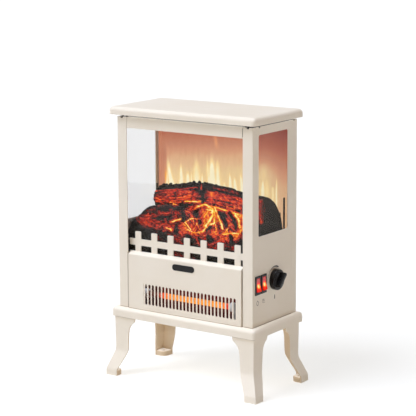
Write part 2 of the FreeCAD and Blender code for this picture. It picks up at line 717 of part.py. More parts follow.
clips = []
n = 0
for side in (1, -1):
    for cy in (-28.0, 22.0):
        for cz, dz in ((D.win_z0 - gl, -1), (D.win_z1 + gl, 1)):
            z_a, z_b = (cz - 2.4, cz) if dz < 0 else (cz, cz + 2.4)
            t_a, t_b = (cz, cz + 2.6) if dz < 0 else (cz - 2.6, cz)
            xa, xb = xin - gt - 1.6, xin
            xt0, xt1 = xin - gt - 1.6, xin - gt
            if side < 0:
                xa, xb, xt0, xt1 = -xb, -xa, -xt1, -xt0
            foot = box("clip_foot%d" % n, xa, xb, q(cy - 5), q(cy + 5), z_a, z_b)
            tab = box("clip_tab%d" % n, xt0, xt1, q(cy - 5), q(cy + 5), t_a, t_b)
            clips.append(fuse("clip%d" % n, [foot, tab]))
            n += 1
keep(group("side_clips", clips), "side_glass_clips")

# ================================================================ firebox
b = new_body("hearth")
ft = D.floor_top
y_front = -D.fence_y + D.fence_th
y_rear = D.body_back - T * 2
sk = new_sketch(b, "hearth_plan", "XY_Plane", ft)
loop(sk, [(-D.body_hw + T * 2, y_rear), (-D.body_hw + T * 2, q(46.0)), (-D.body_hw + T, q(46.0)), (-D.body_hw + T, y_front),
          (D.body_hw - T, y_front), (D.body_hw - T, q(46.0)), (D.body_hw - T * 2, q(46.0)), (D.body_hw - T * 2, y_rear)])
pad(b, sk, T, rev=True)
sk = new_sketch(b, "hearth_lip", "XZ_Plane", -y_front)
rect(sk, -D.fence_hw, D.fence_hw, D.fence_low, ft)
pad(b, sk, T, rev=True)
sk = new_sketch(b, "hearth_light", "XY_Plane", ft + 2)
round_rect(sk, q(-92.0), q(92.0), q(-38.0), q(4.0), 4.0)
round_rect(sk, q(-118.0), q(118.0), D.screen_y + gt + 1.5, y_rear - 1.5, 1.0)
pocket(b, sk, 6)
keep(b, "hearth_floor")

b = new_body("flame_pane")
sk = new_sketch(b, "flame_plan", "XZ_Plane", -D.screen_y)
rect(sk, q(-137.8), q(137.8), ft, D.deck_top - T)
pad(b, sk, D.screen_th, rev=True)
keep(b, "flame_screen")

b = new_body("mask")
sk = new_sketch(b, "mask_plan", "XZ_Plane", -(D.screen_y - 5.5))
rect(sk, q(-120.0), q(120.0), ft, D.mask_top)
pad(b, sk, T, rev=True)
sk = new_sketch(b, "mask_lip", "XY_Plane", ft)
rect(sk, q(-120.0), q(120.0), D.screen_y - 5.5, D.screen_y)
pad(b, sk, T)
keep(b, "flame_mask")

# upright angles that steady the screen at both ends
uprights = []
for i, sx in enumerate((-1, 1)):
    u0, u1 = (q(134.8), q(136.0)) if sx > 0 else (q(-136.0), q(-134.8))
    f0, f1 = (q(127.0), q(136.0)) if sx > 0 else (q(-136.0), q(-127.0))
    web = box("upright_web%d" % i, u0, u1, q(38.5), q(43.0), ft, q(332.0))
    foot = box("upright_foot%d" % i, f0, f1, q(38.5), q(43.0), ft, ft + T)
    uprights.append(fuse("upright%d" % i, [web, foot]))
keep(group("upright_pair", uprights), "screen_uprights")


def log_form(a, bb, ra, rb, squash):
    """One tapered, slightly flattened billet with domed ends, between points a and bb."""
    a, bb = Vector(*a), Vector(*bb)
    d = bb - a
    ln = d.Length
    pts = [Vector(0, 0, 0), Vector(ra * 0.62, 0, ra * 0.05), Vector(ra * 0.93, 0, ra * 0.28), Vector(ra, 0, ra * 0.7),
           Vector((ra + rb) / 2 * 1.03, 0, ln / 2), Vector(rb, 0, ln - rb * 0.7), Vector(rb * 0.93, 0, ln - rb * 0.28),
           Vector(rb * 0.62, 0, ln - rb * 0.05), Vector(0, 0, ln)]
    wire = Part.makePolygon(pts)
    solid = Part.Face(Part.Wire(wire.Edges + [Part.LineSegment(pts[-1], pts[0]).toShape()])).revolve(
        Vector(0, 0, 0), Vector(0, 0, 1), 360)
    solid.Placement = Placement(a, Rotation(Vector(0, 0, 1), d))
    return solid


# Moulded resin fuel bed: an ember mound with the billets standing out of it,
# hollow below so that the ember lights shine up through it.
z0 = ft.v
bed_pts = [(-122, z0), (122, z0), (122, z0 + 44), (112, z0 + 62), (60, z0 + 74), (-20, z0 + 78), (-96, z0 + 62), (-122, z0 + 40)]
mound = Part.Face(Part.makePolygon([Vector(x, 0, z) for x, z in bed_pts + bed_pts[:1]])).extrude(Vector(0, 92, 0))
mound.translate(Vector(0, -50, 0))
slope = Part.Face(Part.makePolygon([Vector(-130, -50, z0), Vector(-130, 42, z0), Vector(-130, 42, z0 + 90), Vector(-130, 6, z0 + 84),
                                    Vector(-130, -26, z0 + 52), Vector(-130, -50, z0 + 16), Vector(-130, -50, z0)])).extrude(Vector(260, 0, 0))
mound = mound.common(slope)
# back shelf that carries the upper billets
shelf = Part.makeBox(236, 30, 78, Vector(-118, 14, z0))
billets = [
    log_form((-118, 18, 318), (-6, 22, 342), 17, 20, 1),
    log_form((-18, 24, 344), (121, 18, 318), 19, 21, 1),
    log_form((-121, -8, 287), (-36, -6, 296), 20, 19, 1),
    log_form((-40, -30, 272), (20, 8, 312), 15, 14, 1),
    log_form((86, -34, 262), (10, 10, 316), 15, 13, 1),
    log_form((30, -26, 284), (112, 4, 300), 14, 17, 1),
    log_form((-104, -34, 254), (-30, -30, 262), 14, 14, 1),
]
fuel = mound.fuse([shelf] + billets)
fuel = fuel.removeSplitter()
clip_box = Part.makeBox(246, 99, 150, Vector(-123, -51, z0))
fuel = fuel.common(clip_box)
hollow = Part.makeBox(200, 60, 30, Vector(-100, -34, z0))
fuel = fuel.cut(hollow)
if fuel.ShapeType != "Solid" and len(fuel.Solids) == 1:
    fuel = fuel.Solids[0]
o = doc.addObject("Part::Feature", "fuel_bed")
o.Shape = fuel
keep(o, "log_set")

# ================================================================ radiant heater
b = new_body("reflector")
sk = new_sketch(b, "refl_prof", "YZ_Plane", q(-107.0))
rt = 0.8
outer = [(-58.0, 178.0), (-38.0, 178.0), (-28.0, 170.0), (-23.0, 150.0), (-28.0, 132.0), (-38.0, 124.75), (-58.0, 124.75)]
inner = [(-58.0, 125.55), (-38.3, 125.55), (-28.7, 132.5), (-23.85, 150.0), (-28.7, 169.5), (-38.3, 177.2), (-58.0, 177.2)]
loop(sk, [(q(a), q(c)) for a, c in outer + inner])
pad(b, sk, q(214.0))
keep(b, "heater_reflector")

ty, tz = D.tube_y, D.tube_z
tube = cut("tube_hollow", cyl("tube_outer", "x", ty, tz, D.tube_x0, D.tube_x1, D.tube_rad),
           cyl("tube_inner", "x", ty, tz, D.tube_x0 - 1, D.tube_x1 + 1, D.tube_bore))
keep(tube, "quartz_tube")
keep(cyl("coil_body", "x", ty, tz, D.tube_x0 + 6, D.tube_x1 - 6, 3.2), "heating_coil")
caps = []
for k, (xa, sgn) in enumerate(((D.tube_x0, -1), (D.tube_x1, 1))):
    a0 = xa - 2 if sgn < 0 else xa - D.cap_len + 2
    body_c = cyl("cap_body%d" % k, "x", ty, tz, a0, a0 + D.cap_len, D.cap_rad)
    well = cyl("cap_well%d" % k, "x", ty, tz, (xa if sgn < 0 else a0 - 1), (a0 + D.cap_len + 1 if sgn < 0 else xa), D.tube_rad + 0.05)
    lead = cyl("cap_lead%d" % k, "x", ty, tz, a0 - 1, a0 + D.cap_len + 1, 1.2)
    caps.append(cut("cap%d" % k, body_c, fuse("cap_void%d" % k, [well, lead])))
keep(group("end_caps", caps), "ceramic_end_caps")
brs = []
for k, (xa, sgn) in enumerate(((D.tube_x0, -1), (D.tube_x1, 1))):
    xb = xa - 2 if sgn < 0 else xa + 2
    p0, p1 = (xb - 1.2, xb) if sgn < 0 else (xb, xb + 1.2)
    plate = box("br_plate%d" % k, p0, p1, q(-56.0), q(-38.6), q(125.55), q(160.0))
    f0, f1 = (xb - 6, xb - 1.2) if sgn < 0 else (xb + 1.2, xb + 6)
    foot = box("br_foot%d" % k, f0, f1, q(-56.0), q(-40.0), q(125.55), q(126.75))
    hole = cyl("br_hole%d" % k, "x", ty, tz, p0 - 1, p1 + 1, 2.0)
    brs.append(cut("bracket%d" % k, fuse("br_both%d" % k, [plate, foot]), hole))
keep(group("tube_bracket_pair", brs), "tube_brackets")
tc = fuse("cutout_parts", [cyl("cutout_can", "z", q(60.0), q(-42.0), q(178.0), q(186.0), 8.0),
                            box("cutout_ear", q(48.0), q(72.0), q(-45.0), q(-39.0), q(178.0), q(179.0)),
                            box("cutout_tab1", q(56.0), q(56.8), q(-44.5), q(-39.5), q(186.0), q(194.0)),
                            box("cutout_tab2", q(63.2), q(64.0), q(-44.5), q(-39.5), q(186.0), q(194.0))])
keep(tc, "thermal_cutout")

# ================================================================ rocker switches
face = D.body_hw


def switch(index, yc, label, rocker_label):
    zc = D.sw_z
    bezel = box("bezel%d" % index, face, face + 2, yc - D.sw_w / 2, yc + D.sw_w / 2, zc - D.sw_ht / 2, zc + D.sw_ht / 2)
    rim = doc.addObject("Part::Fillet", "bezel_round%d" % index)
    rim.Base = bezel
    doc.recompute()
    rim.Edges = [(i, 0.8, 0.8) for i, e in enumerate(bezel.Shape.Edges, start=1)
                 if all(abs(v.X - (face + 2).v) < 1e-6 for v in e.Vertexes)]
    block = box("swblock%d" % index, face - 23, face, yc - 6.45, yc + 6.45, zc - 14.15, zc + 14.15)
    tabs = [box("swtab%d_%d" % (index, k), face - 31, face - 23, yc - 0.4, yc + 0.4, zc + dz - 2.4, zc + dz + 2.4)
            for k, dz in enumerate((-9.0, 0.0, 9.0))]
    well = box("swwell%d" % index, face - 13.5, face + 3, yc - D.rock_w / 2 - 0.35, yc + D.rock_w / 2 + 0.35, zc - 12.7, zc + 12.7)
    pins = cyl("swpin%d" % index, "y", face - 3, zc, yc - D.rock_w / 2 - 1.0, yc + D.rock_w / 2 + 1.0, 1.35)
    housing = cut("swhousing%d" % index, fuse("swsolid%d" % index, [rim, block] + tabs), fuse("swvoid%d" % index, [well, pins]))
    keep(housing, label)
    # rocker, drawn level and then tipped about its pin
    b = new_body("rocker_body%d" % index)
    sk = new_sketch(b, "rocker_prof%d" % index, "XZ_Plane", D.rock_w / 2)
    loop(sk, [(q(6.6), q(-11.6)), (q(5.0), q(0.0)), (q(6.6), q(11.6)), (q(1.0), q(10.6)), (q(-3.2), q(4.5)),
              (q(-3.2), q(-4.5)), (q(1.0), q(-10.6))])
    body_r = pad(b, sk, D.rock_w, rev=True)
    doc.recompute()
    fillet(b, body_r, edges(body_r, lambda e: along(e, 1) and abs(abs(e.Vertexes[0].Z) - 11.6) < 1e-4), 0.6)
    sk = new_sketch(b, "rocker_pin%d" % index, "XZ_Plane", D.rock_w / 2 + 0.9)
    circle(sk, q(0.0), q(0.0), 1.25)
    pad(b, sk, D.rock_w + 1.8, rev=True)
    b.Placement = Placement(Vector((face - 3).v, yc.v, zc.v), Rotation(Vector(0, 1, 0), -D.rock_tilt.v))
    b.setExpression("Placement.Base.x", (face - 3).s)
    b.setExpression("Placement.Base.y", yc.s)
    b.setExpression("Placement.Base.z", zc.s)
    keep(b, rocker_label)


switch(1, D.sw_y1, "flame_switch_housing", "flame_rocker")
switch(2, D.sw_y2, "heat_switch_housing", "heat_rocker")

# ================================================================ thermostat and knob
ky, kz = D.knob_y, D.knob_z
blk = box("stat_block", face - T - 19, face - T - 1.5, ky - 14, ky + 14, kz - 13, kz + 13)
mnt = box("stat_plate", face - T - 1.5, face - T, ky - 10, ky + 10, kz - 16, kz + 16)
bush = cyl("stat_bush", "x", ky, kz, face - T, face + 3.2, D.bush_rad)
tabs = [box("stat_tab%d" % k, face - T - 26, face - T - 19, ky + dy - 2.4, ky + dy + 2.4, kz - 8.4, kz - 7.6) for k, dy in enumerate((-8.0, 8.0))]
bore = cyl("stat_bore", "x", ky, kz, face - T - 15, face + 4, D.shaft_rad + 0.05)
keep(cut("stat_all", fuse("stat_solid", [blk, mnt, bush] + tabs), bore), "thermostat_body")

b = new_body("stat_nut")
sk = new_sketch(b, "nut_prof", "YZ_Plane", face)
hexpts = []
for i in range(6):
    a = math.radians(30 + 60 * i)
    hexpts.append((ky + 7.3 * math.cos(a), kz + 7.3 * math.sin(a)))
loop(sk, hexpts)
pad(b, sk, 2.0)
sk = new_sketch(b, "nut_bore", "YZ_Plane", face + 5)
circle(sk, ky, kz, D.bush_rad + 0.05)
pocket(b, sk, 10)
keep(b, "thermostat_nut")

shaft = cyl("stat_shaft", "x", ky, kz, face - T - 14.5, face + 13.0, D.shaft_rad)
flat = box("stat_flat", face + 5.0, face + 14.0, ky - 5, ky + 5, kz + 1.5, kz + 5)
keep(cut("stat_shaft_d", shaft, flat), "thermostat_shaft")

b = new_body("knob")
sk = new_sketch(b, "knob_skirt", "YZ_Plane", face + 0.8)
circle(sk, ky, kz, D.knob_rad)
skirt = pad(b, sk, 8.6)
doc.recompute()
fillet(b, skirt, edges(skirt, lambda e: abs(e.CenterOfMass.x - (face + 9.4).v) < 1e-4 and len(e.Vertexes) == 1), 2.0)
sk = new_sketch(b, "knob_dome", "YZ_Plane", face + 9.0)
circle(sk, ky, kz, q(14.2))
dome = pad(b, sk, 2.0)
doc.recompute()
fillet(b, dome, edges(dome, lambda e: abs(e.CenterOfMass.x - (face + 11.0).v) < 1e-4 and len(e.Vertexes) == 1), 1.2)
sk = new_sketch(b, "knob_grip", "YZ_Plane", face + 9.0)
ca, sa = math.cos(math.radians(45)), math.sin(math.radians(45))
pts = [(-13.6, -3.4), (13.6, -3.4), (15.2, 0.0), (13.6, 3.4), (-13.6, 3.4), (-14.8, 0.0)]
loop(sk, [(ky + (u * ca - v * sa), kz + (u * sa + v * ca)) for u, v in pts])
grip = pad(b, sk, 8.8)
doc.recompute()
xtop = (face + 17.8).v
fillet(b, grip, edges(grip, lambda e: all(abs(v.X - xtop) < 1e-4 for v in e.Vertexes)), 1.6)
sk = new_sketch(b, "knob_hollow", "YZ_Plane", face + 0.8)
circle(sk, ky, kz, q(15.6))
pocket(b, sk, 4.4, rev=True)
sk = new_sketch(b, "knob_hub", "YZ_Plane", face + 3.6)
circle(sk, ky, kz, q(5.6))
pad(b, sk, 2.6)
sk = new_sketch(b, "knob_bore", "YZ_Plane", face + 3.0)
circle(sk, ky, kz, D.shaft_rad + 0.04)
pocket(b, sk, 10.2, rev=True)
sk = new_sketch(b, "knob_dee", "YZ_Plane", face + 5.4)
rect(sk, ky - 3.6, ky + 3.6, kz + 1.55, kz + 3.4)
pad(b, sk, 8.0)
keep(b, "control_knob")

# ================================================================ flame drive
sy, sz = D.spin_y, D.spin_z
vanes = []
for i in range(11):
    xa = -95.0 + i * 17.6
    for k in range(2):
        ang = 36.0 * i + 90.0 * k
        v = doc.addObject("Part::Box", "vane%d_%d" % (i, k))
        v.Length = 14.0
        bind(v, "Width", D.spin_rad * 2 - 0.4)
        v.Height = 0.5
        rot = Rotation(Vector(1, 0, 0), ang)
        off = rot.multVec(Vector(0, -(D.spin_rad.v - 0.2), -0.25))
        v.Placement = Placement(Vector(xa, sy.v + off.y, sz.v + off.z), rot)
        vanes.append(v)
rod = cyl("spin_rod", "x", sy, sz, q(-119.0), q(113.4), D.spin_shaft)
keep(fuse("spindle_all", [rod] + vanes), "flame_spindle")

mot = fuse("motor_all", [cyl("motor_can", "x", sy, sz, q(-129.0), q(-113.0), 19.0),
                          box("motor_ears", q(-114.0), q(-113.0), sy - 24, sy + 24, sz - 4, sz + 4),
                          cyl("motor_nose", "x", sy, sz, q(-113.0), q(-110.2), 4.0)])
keep(cut("motor_done", mot, cyl("motor_bore", "x", sy, sz, q(-121.0), q(-110.0), D.spin_shaft + 0.06)), "spindle_motor")

for k, (xa, label, hole_r) in enumerate(((-113.0, "motor_bracket", 4.1), (109.0, "spindle_bracket", 3.1))):
    plate = box("hang%d" % k, q(xa), q(xa + 1.2), sy - (26 if k == 0 else 10), sy + (22 if k == 0 else 10), sz - 9, ft - T)
    fx0, fx1 = (xa + 1.2, xa + 10.0)
    lip = box("hang_lip%d" % k, q(fx0), q(fx1), sy - (26 if k == 0 else 10), sy + 10, ft - T - 1.2, ft - T)
    keep(cut(label + "_solid", fuse(label + "_both", [plate, lip]), cyl("hang_hole%d" % k, "x", sy, sz, q(xa - 1), q(xa + 3), hole_r)), label)
bush2 = cut("bush_solid", fuse("bush_both", [cyl("bush_a", "x", sy, sz, q(109.0), q(111.6), 3.05), cyl("bush_b", "x", sy, sz, q(107.6), q(109.0), 4.4)]),
            cyl("bush_hole", "x", sy, sz, q(107.0), q(112.0), D.spin_shaft + 0.06))
keep(bush2, "spindle_bush")

# ================================================================ flame and ember lights
br = fuse("led_sheet", [box("led_web", q(-100.0), q(100.0), q(20.0), q(21.2), q(190.0), ft - T),
                         box("led_lip", q(-100.0), q(100.0), q(10.0), q(20.0), ft - T * 2, ft - T)])
keep(br, "led_bracket")
keep(box("flame_pcb", q(-98.0), q(98.0), q(21.2), q(22.8), q(194.0), q(212.0)), "flame_light_board")
leds = [box("fled%d" % k, q(-88.0 + k * 16 - 2.5), q(-88.0 + k * 16 + 2.5), q(22.8), q(24.4), q(200.5), q(205.5)) for k in range(12)]
keep(group("fleds", leds), "flame_leds")
keep(box("ember_pcb", q(-98.0), q(98.0), q(-40.0), q(2.0), q(206.0), q(207.6)), "ember_light_board")
leds = []
for k in range(10):
    for j, yy in enumerate((-28.0, -10.0)):
        leds.append(box("eled%d_%d" % (k, j), q(-81.0 + k * 18 - 2.5), q(-81.0 + k * 18 + 2.5), q(yy - 2.5), q(yy + 2.5), q(207.6), q(209.2)))
keep(group("eleds", leds), "ember_leds")
sp = [cyl("espacer%d" % k, "z", q(px), q(py), q(207.6), ft - T, 2.2) for k, (px, py) in enumerate(((-95.4, -35), (95.4, -35), (-95.4, -1.5), (95.4, -1.5)))]
keep(group("espacers", sp), "light_board_spacers")

# ================================================================ power electronics
keep(box("driver_pcb", q(-100.0), q(-20.0), q(4.0), q(56.0), q(130.75), q(132.35)), "driver_board")
sp = [cyl("dspacer%d" % k, "z", q(px), q(py), D.body_low, q(130.75), 2.6) for k, (px, py) in enumerate(((-96.0, 8.0), (-24.0, 8.0), (-96.0, 52.0), (-24.0, 52.0)))]
keep(group("dspacers", sp), "driver_board_spacers")
comp = [cyl("cap_a", "z", q(-86.0), q(22.0), q(132.35), q(152.0), 6.5), cyl("cap_b", "z", q(-86.0), q(40.0), q(132.35), q(146.0), 5.0),
        box("relay", q(-72.0), q(-53.0), q(14.0), q(30.0), q(132.35), q(148.0)), box("coil_box", q(-46.0), q(-28.0), q(14.0), q(34.0), q(132.35), q(150.0)),
        box("plug_a", q(-74.0), q(-52.0), q(42.0), q(50.0), q(132.35), q(141.0)), box("plug_b", q(-46.0), q(-30.0), q(42.0), q(50.0), q(132.35), q(141.0))]
keep(group("driver_parts", comp), "driver_components")
tb = box("tb_block", q(56.0), q(110.0), q(22.0), q(42.0), D.body_low, q(142.0))
holes = []
for k in range(4):
    holes.append(cyl("tb_in%d" % k, "y", q(64.0 + k * 12.6), q(131.5), q(20.0), q(44.0), 2.6))
    holes.append(cyl("tb_top%d" % k, "z", q(64.0 + k * 12.6), q(27.0), q(136.0), q(143.0), 2.4))
keep(cut("tb_done", tb, fuse("tb_holes", holes)), "terminal_block")

gx, gz = D.gland_x, D.gland_z
yb = D.body_back
gl_body = fuse("gland_solid", [cyl("gland_flange", "y", gx, gz, yb, yb + 4, 11.0), cyl("gland_thru", "y", gx, gz, yb - 9, yb, D.gland_rad)])
keep(cut("gland_done", gl_body, cyl("gland_hole", "y", gx, gz, yb - 12, yb + 8, D.gland_bore)), "cord_gland")
nutc = cut("gnut_done", cyl("gnut_a", "y", gx, gz, yb - T - 3.4, yb - T, 11.0), cyl("gnut_b", "y", gx, gz, yb - T - 5, yb - T + 1, D.gland_rad + 0.05))
keep(nutc, "gland_nut")

screws = []
n = 0
for sx in (-1, 1):
    for hz in (145.0, 295.0, 445.0):
        head = cyl("rs_head%d" % n, "y", (D.body_hw - 9) * sx, q(hz), yb, yb + 1.9, 3.3)
        drive = box("rs_drive%d" % n, (D.body_hw - 9) * sx - 0.45, (D.body_hw - 9) * sx + 0.45, yb + 0.9, yb + 2.5, q(hz - 2), q(hz + 2))
        drive2 = box("rs_driveb%d" % n, (D.body_hw - 9) * sx - 2, (D.body_hw - 9) * sx + 2, yb + 0.9, yb + 2.5, q(hz - 0.45), q(hz + 0.45))
        shank = cyl("rs_shank%d" % n, "y", (D.body_hw - 9) * sx, q(hz), yb - 7, yb, 1.55)
        screws.append(cut("rs%d" % n, fuse("rs_all%d" % n, [head, shank]), fuse("rs_x%d" % n, [drive, drive2])))
        n += 1
keep(group("rear_screw_set", screws), "rear_screws")

# ================================================================ legs
LEG_TOP = D.base_low.v
LT = D.leg_th.v
# inward offset of the outer corner edge from the foot corner, against height
EDGE = [(0.0, 0.0), (0.0, 11.5), (1.2, 14.6), (10.9, 40.4), (12.6, 45.8), (12.9, 51.0), (12.2, LEG_TOP)]
# plate width from the corner edge, against height
WIDTH = [(23.0, 0.0), (23.2, 12.0), (24.0, 18.0), (25.4, 30.0), (26.3, 42.0), (26.9, 52.0), (27.9, 68.0), (28.7, 78.0), (30.3, 86.0),
         (32.4, 91.0), (35.6, 95.2), (39.4, 98.2), (42.2, 100.6), (43.3, 103.4), (43.5, LEG_TOP)]


def look(table, z):
    for (a, za), (c, zc) in zip(table, table[1:]):
        if za <= z <= zc:
            return a + (c - a) * (z - za) / (zc - za)
    return table[-1][0]


def smooth_edge(pts):
    """Fillet-like rounding of the two bends: short arcs through sampled points."""
    out = []
    zs = [0.0, 8.0, 10.0, 11.6, 13.0, 14.6, 16.4, 20.0, 28.0, 36.0, 39.0, 41.5, 44.0, 46.5, 49.5, 54.0, 70.0, 90.0, LEG_TOP]
    for z in zs:
        w = [(-3.0, 1), (-1.5, 2), (0.0, 3), (1.5, 2), (3.0, 1)]
        tot = sum(k for _, k in w)
        val = sum(look(EDGE, min(max(z + dz, 0.0), LEG_TOP)) * k for dz, k in w) / tot
        out.append((val, z))
    return out


SM = smooth_edge(EDGE)


def corner(z):
    return look(SM, z)


def band(offset_in):
    """Points (inward offset, z) of the outer skin moved inward."""
    return [(a + offset_in, z) for a, z in SM]


def leg_shape(hx, hy):
    """Leg for the +X, -Y corner: two curved plates at a right angle, a foot
    block and a screw flange."""
    # front plate: curved sheet following the flare in Y, trimmed to its outline in X
    def sheet_solid(axis):
        half = hy if axis == "y" else hx
        sign = -1 if axis == "y" else 1
        outer = [(sign * (half - a), z) for a, z in band(0.0)]
        inner = [(sign * (half - a), z) for a, z in band(LT)]
        ring = outer + inner[::-1]
        if axis == "y":
            poly = [Vector(0, u, z) for u, z in ring]
            face_ = Part.Face(Part.makePolygon(poly + poly[:1]))
            return face_.extrude(Vector(hx + 20, 0, 0))
        poly = [Vector(u, 0, z) for u, z in ring]
        face_ = Part.Face(Part.makePolygon(poly + poly[:1]))
        return face_.extrude(Vector(0, -(hy + 20), 0))

    def outline(axis):
        half = hx if axis == "y" else hy
        sign = 1 if axis == "y" else -1
        zs = sorted(set([z for _, z in SM] + [z for _, z in WIDTH]))
        outer = [(sign * (half - corner(z)), z) for z in zs]
        inner = [(sign * (half - corner(z) - look(WIDTH, z)), z) for z in zs]
        ring = outer + inner[::-1]
        if axis == "y":
            poly = [Vector(u, 5, z) for u, z in ring]
            face_ = Part.Face(Part.makePolygon(poly + poly[:1]))
            return face_.extrude(Vector(0, -(hy + 30), 0))
        poly = [Vector(-5, u, z) for u, z in ring]
        face_ = Part.Face(Part.makePolygon(poly + poly[:1]))
        return face_.extrude(Vector(hx + 30, 0, 0))

    front = sheet_solid("y").common(outline("y"))
    flank = sheet_solid("x").common(outline("x"))
    reach = D.leg_pad.v
    blockb = Part.makeBox(reach - LT + 0.2, reach - LT + 0.2, D.leg_pad_ht.v, Vector(hx - reach, -hy + LT - 0.2, 0))
    picks = [e for e in blockb.Edges if all(abs(v.X - (hx - reach)) < 1e-6 and abs(v.Y - (-hy + reach)) < 1e-6 for v in e.Vertexes)]
    blockb = blockb.makeFillet(12.0, picks)
    picks = [e for e in blockb.Edges if all(abs(v.Z - D.leg_pad_ht.v) < 1e-6 for v in e.Vertexes)
             and (e.BoundBox.XMin < hx - reach + 12.5 and e.BoundBox.YMax > -hy + reach - 12.5)
             and e.BoundBox.DiagonalLength > 5
             and not (abs(e.BoundBox.XMin - (hx - LT + 0.2)) < 0.3 and e.BoundBox.XLength < 0.01)
             and not (abs(e.BoundBox.YMin - (-hy + LT - 0.2)) < 0.3 and e.BoundBox.YLength < 0.01)]
    blockb = blockb.makeFillet(2.5, picks)
    blockb = blockb.cut(Part.makeCylinder(2.2, 6.0, Vector(hx - reach + 9.5, -hy + reach - 9.5, D.leg_pad_ht.v - 5)))
    cx, cy = hx - look(SM, LEG_TOP), -hy + look(SM, LEG_TOP)
    fl = Part.makeBox(40.0 - LT + 0.4, 40.0 - LT + 0.4, 3.0, Vector(cx - 40.0, cy + LT - 0.4, LEG_TOP - 3.0))
    tri = Part.Face(Part.makePolygon([Vector(cx - 41, cy + 41, LEG_TOP - 4), Vector(cx - 41, cy + 22, LEG_TOP - 4), Vector(cx - 22, cy + 41, LEG_TOP - 4),
                                      Vector(cx - 41, cy + 41, LEG_TOP - 4)])).extrude(Vector(0, 0, 5))
    fl = fl.cut(tri)
    for dx, dy in LEG_SCREWS:
        fl = fl.cut(Part.makeCylinder(2.2, 6, Vector(LEG_X - dx, -LEG_Y + dy, LEG_TOP - 4)))
    leg = front.fuse([flank, blockb, fl]).removeSplitter()
    return leg.Solids[0] if len(leg.Solids) == 1 else leg


hx, hy = D.leg_hx.v, D.leg_hy.v
leg_fr = leg_shape(hx, hy)
leg_fl = leg_fr.mirror(Vector(0, 0, 0), Vector(1, 0, 0))
leg_br = leg_fr.mirror(Vector(0, 0, 0), Vector(0, 1, 0))
leg_bl = leg_fl.mirror(Vector(0, 0, 0), Vector(0, 1, 0))
for shape, label in ((leg_fr, "leg_front_right"), (leg_fl, "leg_front_left"), (leg_br, "leg_rear_right"), (leg_bl, "leg_rear_left")):
    o = doc.addObject("Part::Feature", label)
    o.Shape = shape
    keep(o, label)

screws = []
n = 0
for sx in (-1, 1):
    for sy_ in (-1, 1):
        for dx, dy in LEG_SCREWS:
            px, py = sx * (LEG_X - dx), sy_ * (LEG_Y - dy)
            head = cyl("ls_head%d" % n, "z", q(px), q(py), D.base_low - 3 - 2, D.base_low - 3, 3.8)
            shank = cyl("ls_shank%d" % n, "z", q(px), q(py), D.base_low - 3.5, D.base_low + 9.5, 2.0)
            screws.append(fuse("ls%d" % n, [head, shank]))
            n += 1
keep(group("leg_screw_set", screws), "leg_screws")

# ================================================================ checks and files
doc.recompute()
problems = []
for obj in doc.Objects:
    state = [str(s) for s in obj.State]
    if "Invalid" in state or "Error" in state:
        problems.append("%s: %s" % (obj.Name, state))
for feature, before in cutters:
    if before is not None and feature.Shape.Volume > before.Shape.Volume - 1e-3:
        problems.append("%s removes nothing" % feature.Name)
labels = set()
for obj in nodes:
    shape = obj.Shape
    if shape.isNull() or not shape.isValid() or not shape.Solids:
        problems.append("%s: bad shape" % obj.Label)
    if obj.Label in labels:
        problems.append("%s: label used twice" % obj.Label)
    labels.add(obj.Label)
if problems:
    raise RuntimeError("; ".join(problems))

os.makedirs("parts", exist_ok=True)
for obj in nodes:
    obj.Shape.exportStep("parts/%s.step" % obj.Label)
print("nodes", len(nodes))
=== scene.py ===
import math

import bpy
import numpy as np
from mathutils import Matrix, Vector


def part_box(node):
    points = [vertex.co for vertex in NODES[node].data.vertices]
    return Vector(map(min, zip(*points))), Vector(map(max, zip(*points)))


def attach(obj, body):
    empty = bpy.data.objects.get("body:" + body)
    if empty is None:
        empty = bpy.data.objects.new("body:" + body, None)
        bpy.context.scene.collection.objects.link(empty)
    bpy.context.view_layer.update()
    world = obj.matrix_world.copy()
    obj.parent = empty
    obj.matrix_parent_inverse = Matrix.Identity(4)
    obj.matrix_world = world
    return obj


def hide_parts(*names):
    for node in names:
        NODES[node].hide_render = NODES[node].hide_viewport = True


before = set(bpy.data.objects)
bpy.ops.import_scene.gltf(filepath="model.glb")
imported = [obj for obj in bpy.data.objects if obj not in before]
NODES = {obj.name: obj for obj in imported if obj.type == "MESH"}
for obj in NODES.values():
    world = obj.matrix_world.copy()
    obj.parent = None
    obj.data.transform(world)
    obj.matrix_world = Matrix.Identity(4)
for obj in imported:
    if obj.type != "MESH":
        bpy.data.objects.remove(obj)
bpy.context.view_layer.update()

MM = 0.001
scene = bpy.context.scene


# ------------------------------------------------------------------ numbers
def lin(r, g, b):
    """An 8-bit display colour as linear RGBA."""
    out = []
    for c in (r, g, b):
        c = c / 255.0
        out.append(c / 12.92 if c <= 0.04045 else ((c + 0.055) / 1.055) ** 2.4)
    return (out[0], out[1], out[2], 1.0)


def box_mm(node):
    lo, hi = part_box(node)
    return np.array(lo) / MM, np.array(hi) / MM


def smooth(a, b, x):
    t = np.clip((np.asarray(x, float) - a) / (b - a), 0.0, 1.0)
    return t * t * (3 - 2 * t)


def _hash(ix, iy, iz, seed):
    h = (ix * 374761393 + iy * 668265263 + iz * 1440662683 + seed * 974634777) & 0xFFFFFFFF
    h = ((h ^ (h >> 13)) * 1274126177) & 0xFFFFFFFF
    h = (h ^ (h >> 16)) & 0xFFFFFFFF
    return (h & 0xFFFFFF) / 16777216.0


def noise3(p, seed=0):
    """Value noise, 0 to 1, at points p (N, 3)."""
    p = np.asarray(p, float)
    i = np.floor(p).astype(np.int64)
    f = p - i
    w = f * f * (3 - 2 * f)
    out = 0
    for dx in (0, 1):
        for dy in (0, 1):
            for dz in (0, 1):
                c = _hash(i[:, 0] + dx, i[:, 1] + dy, i[:, 2] + dz, seed)
                out = out + c * np.where(dx, w[:, 0], 1 - w[:, 0]) * np.where(dy, w[:, 1], 1 - w[:, 1]) * np.where(dz, w[:, 2], 1 - w[:, 2])
    return out


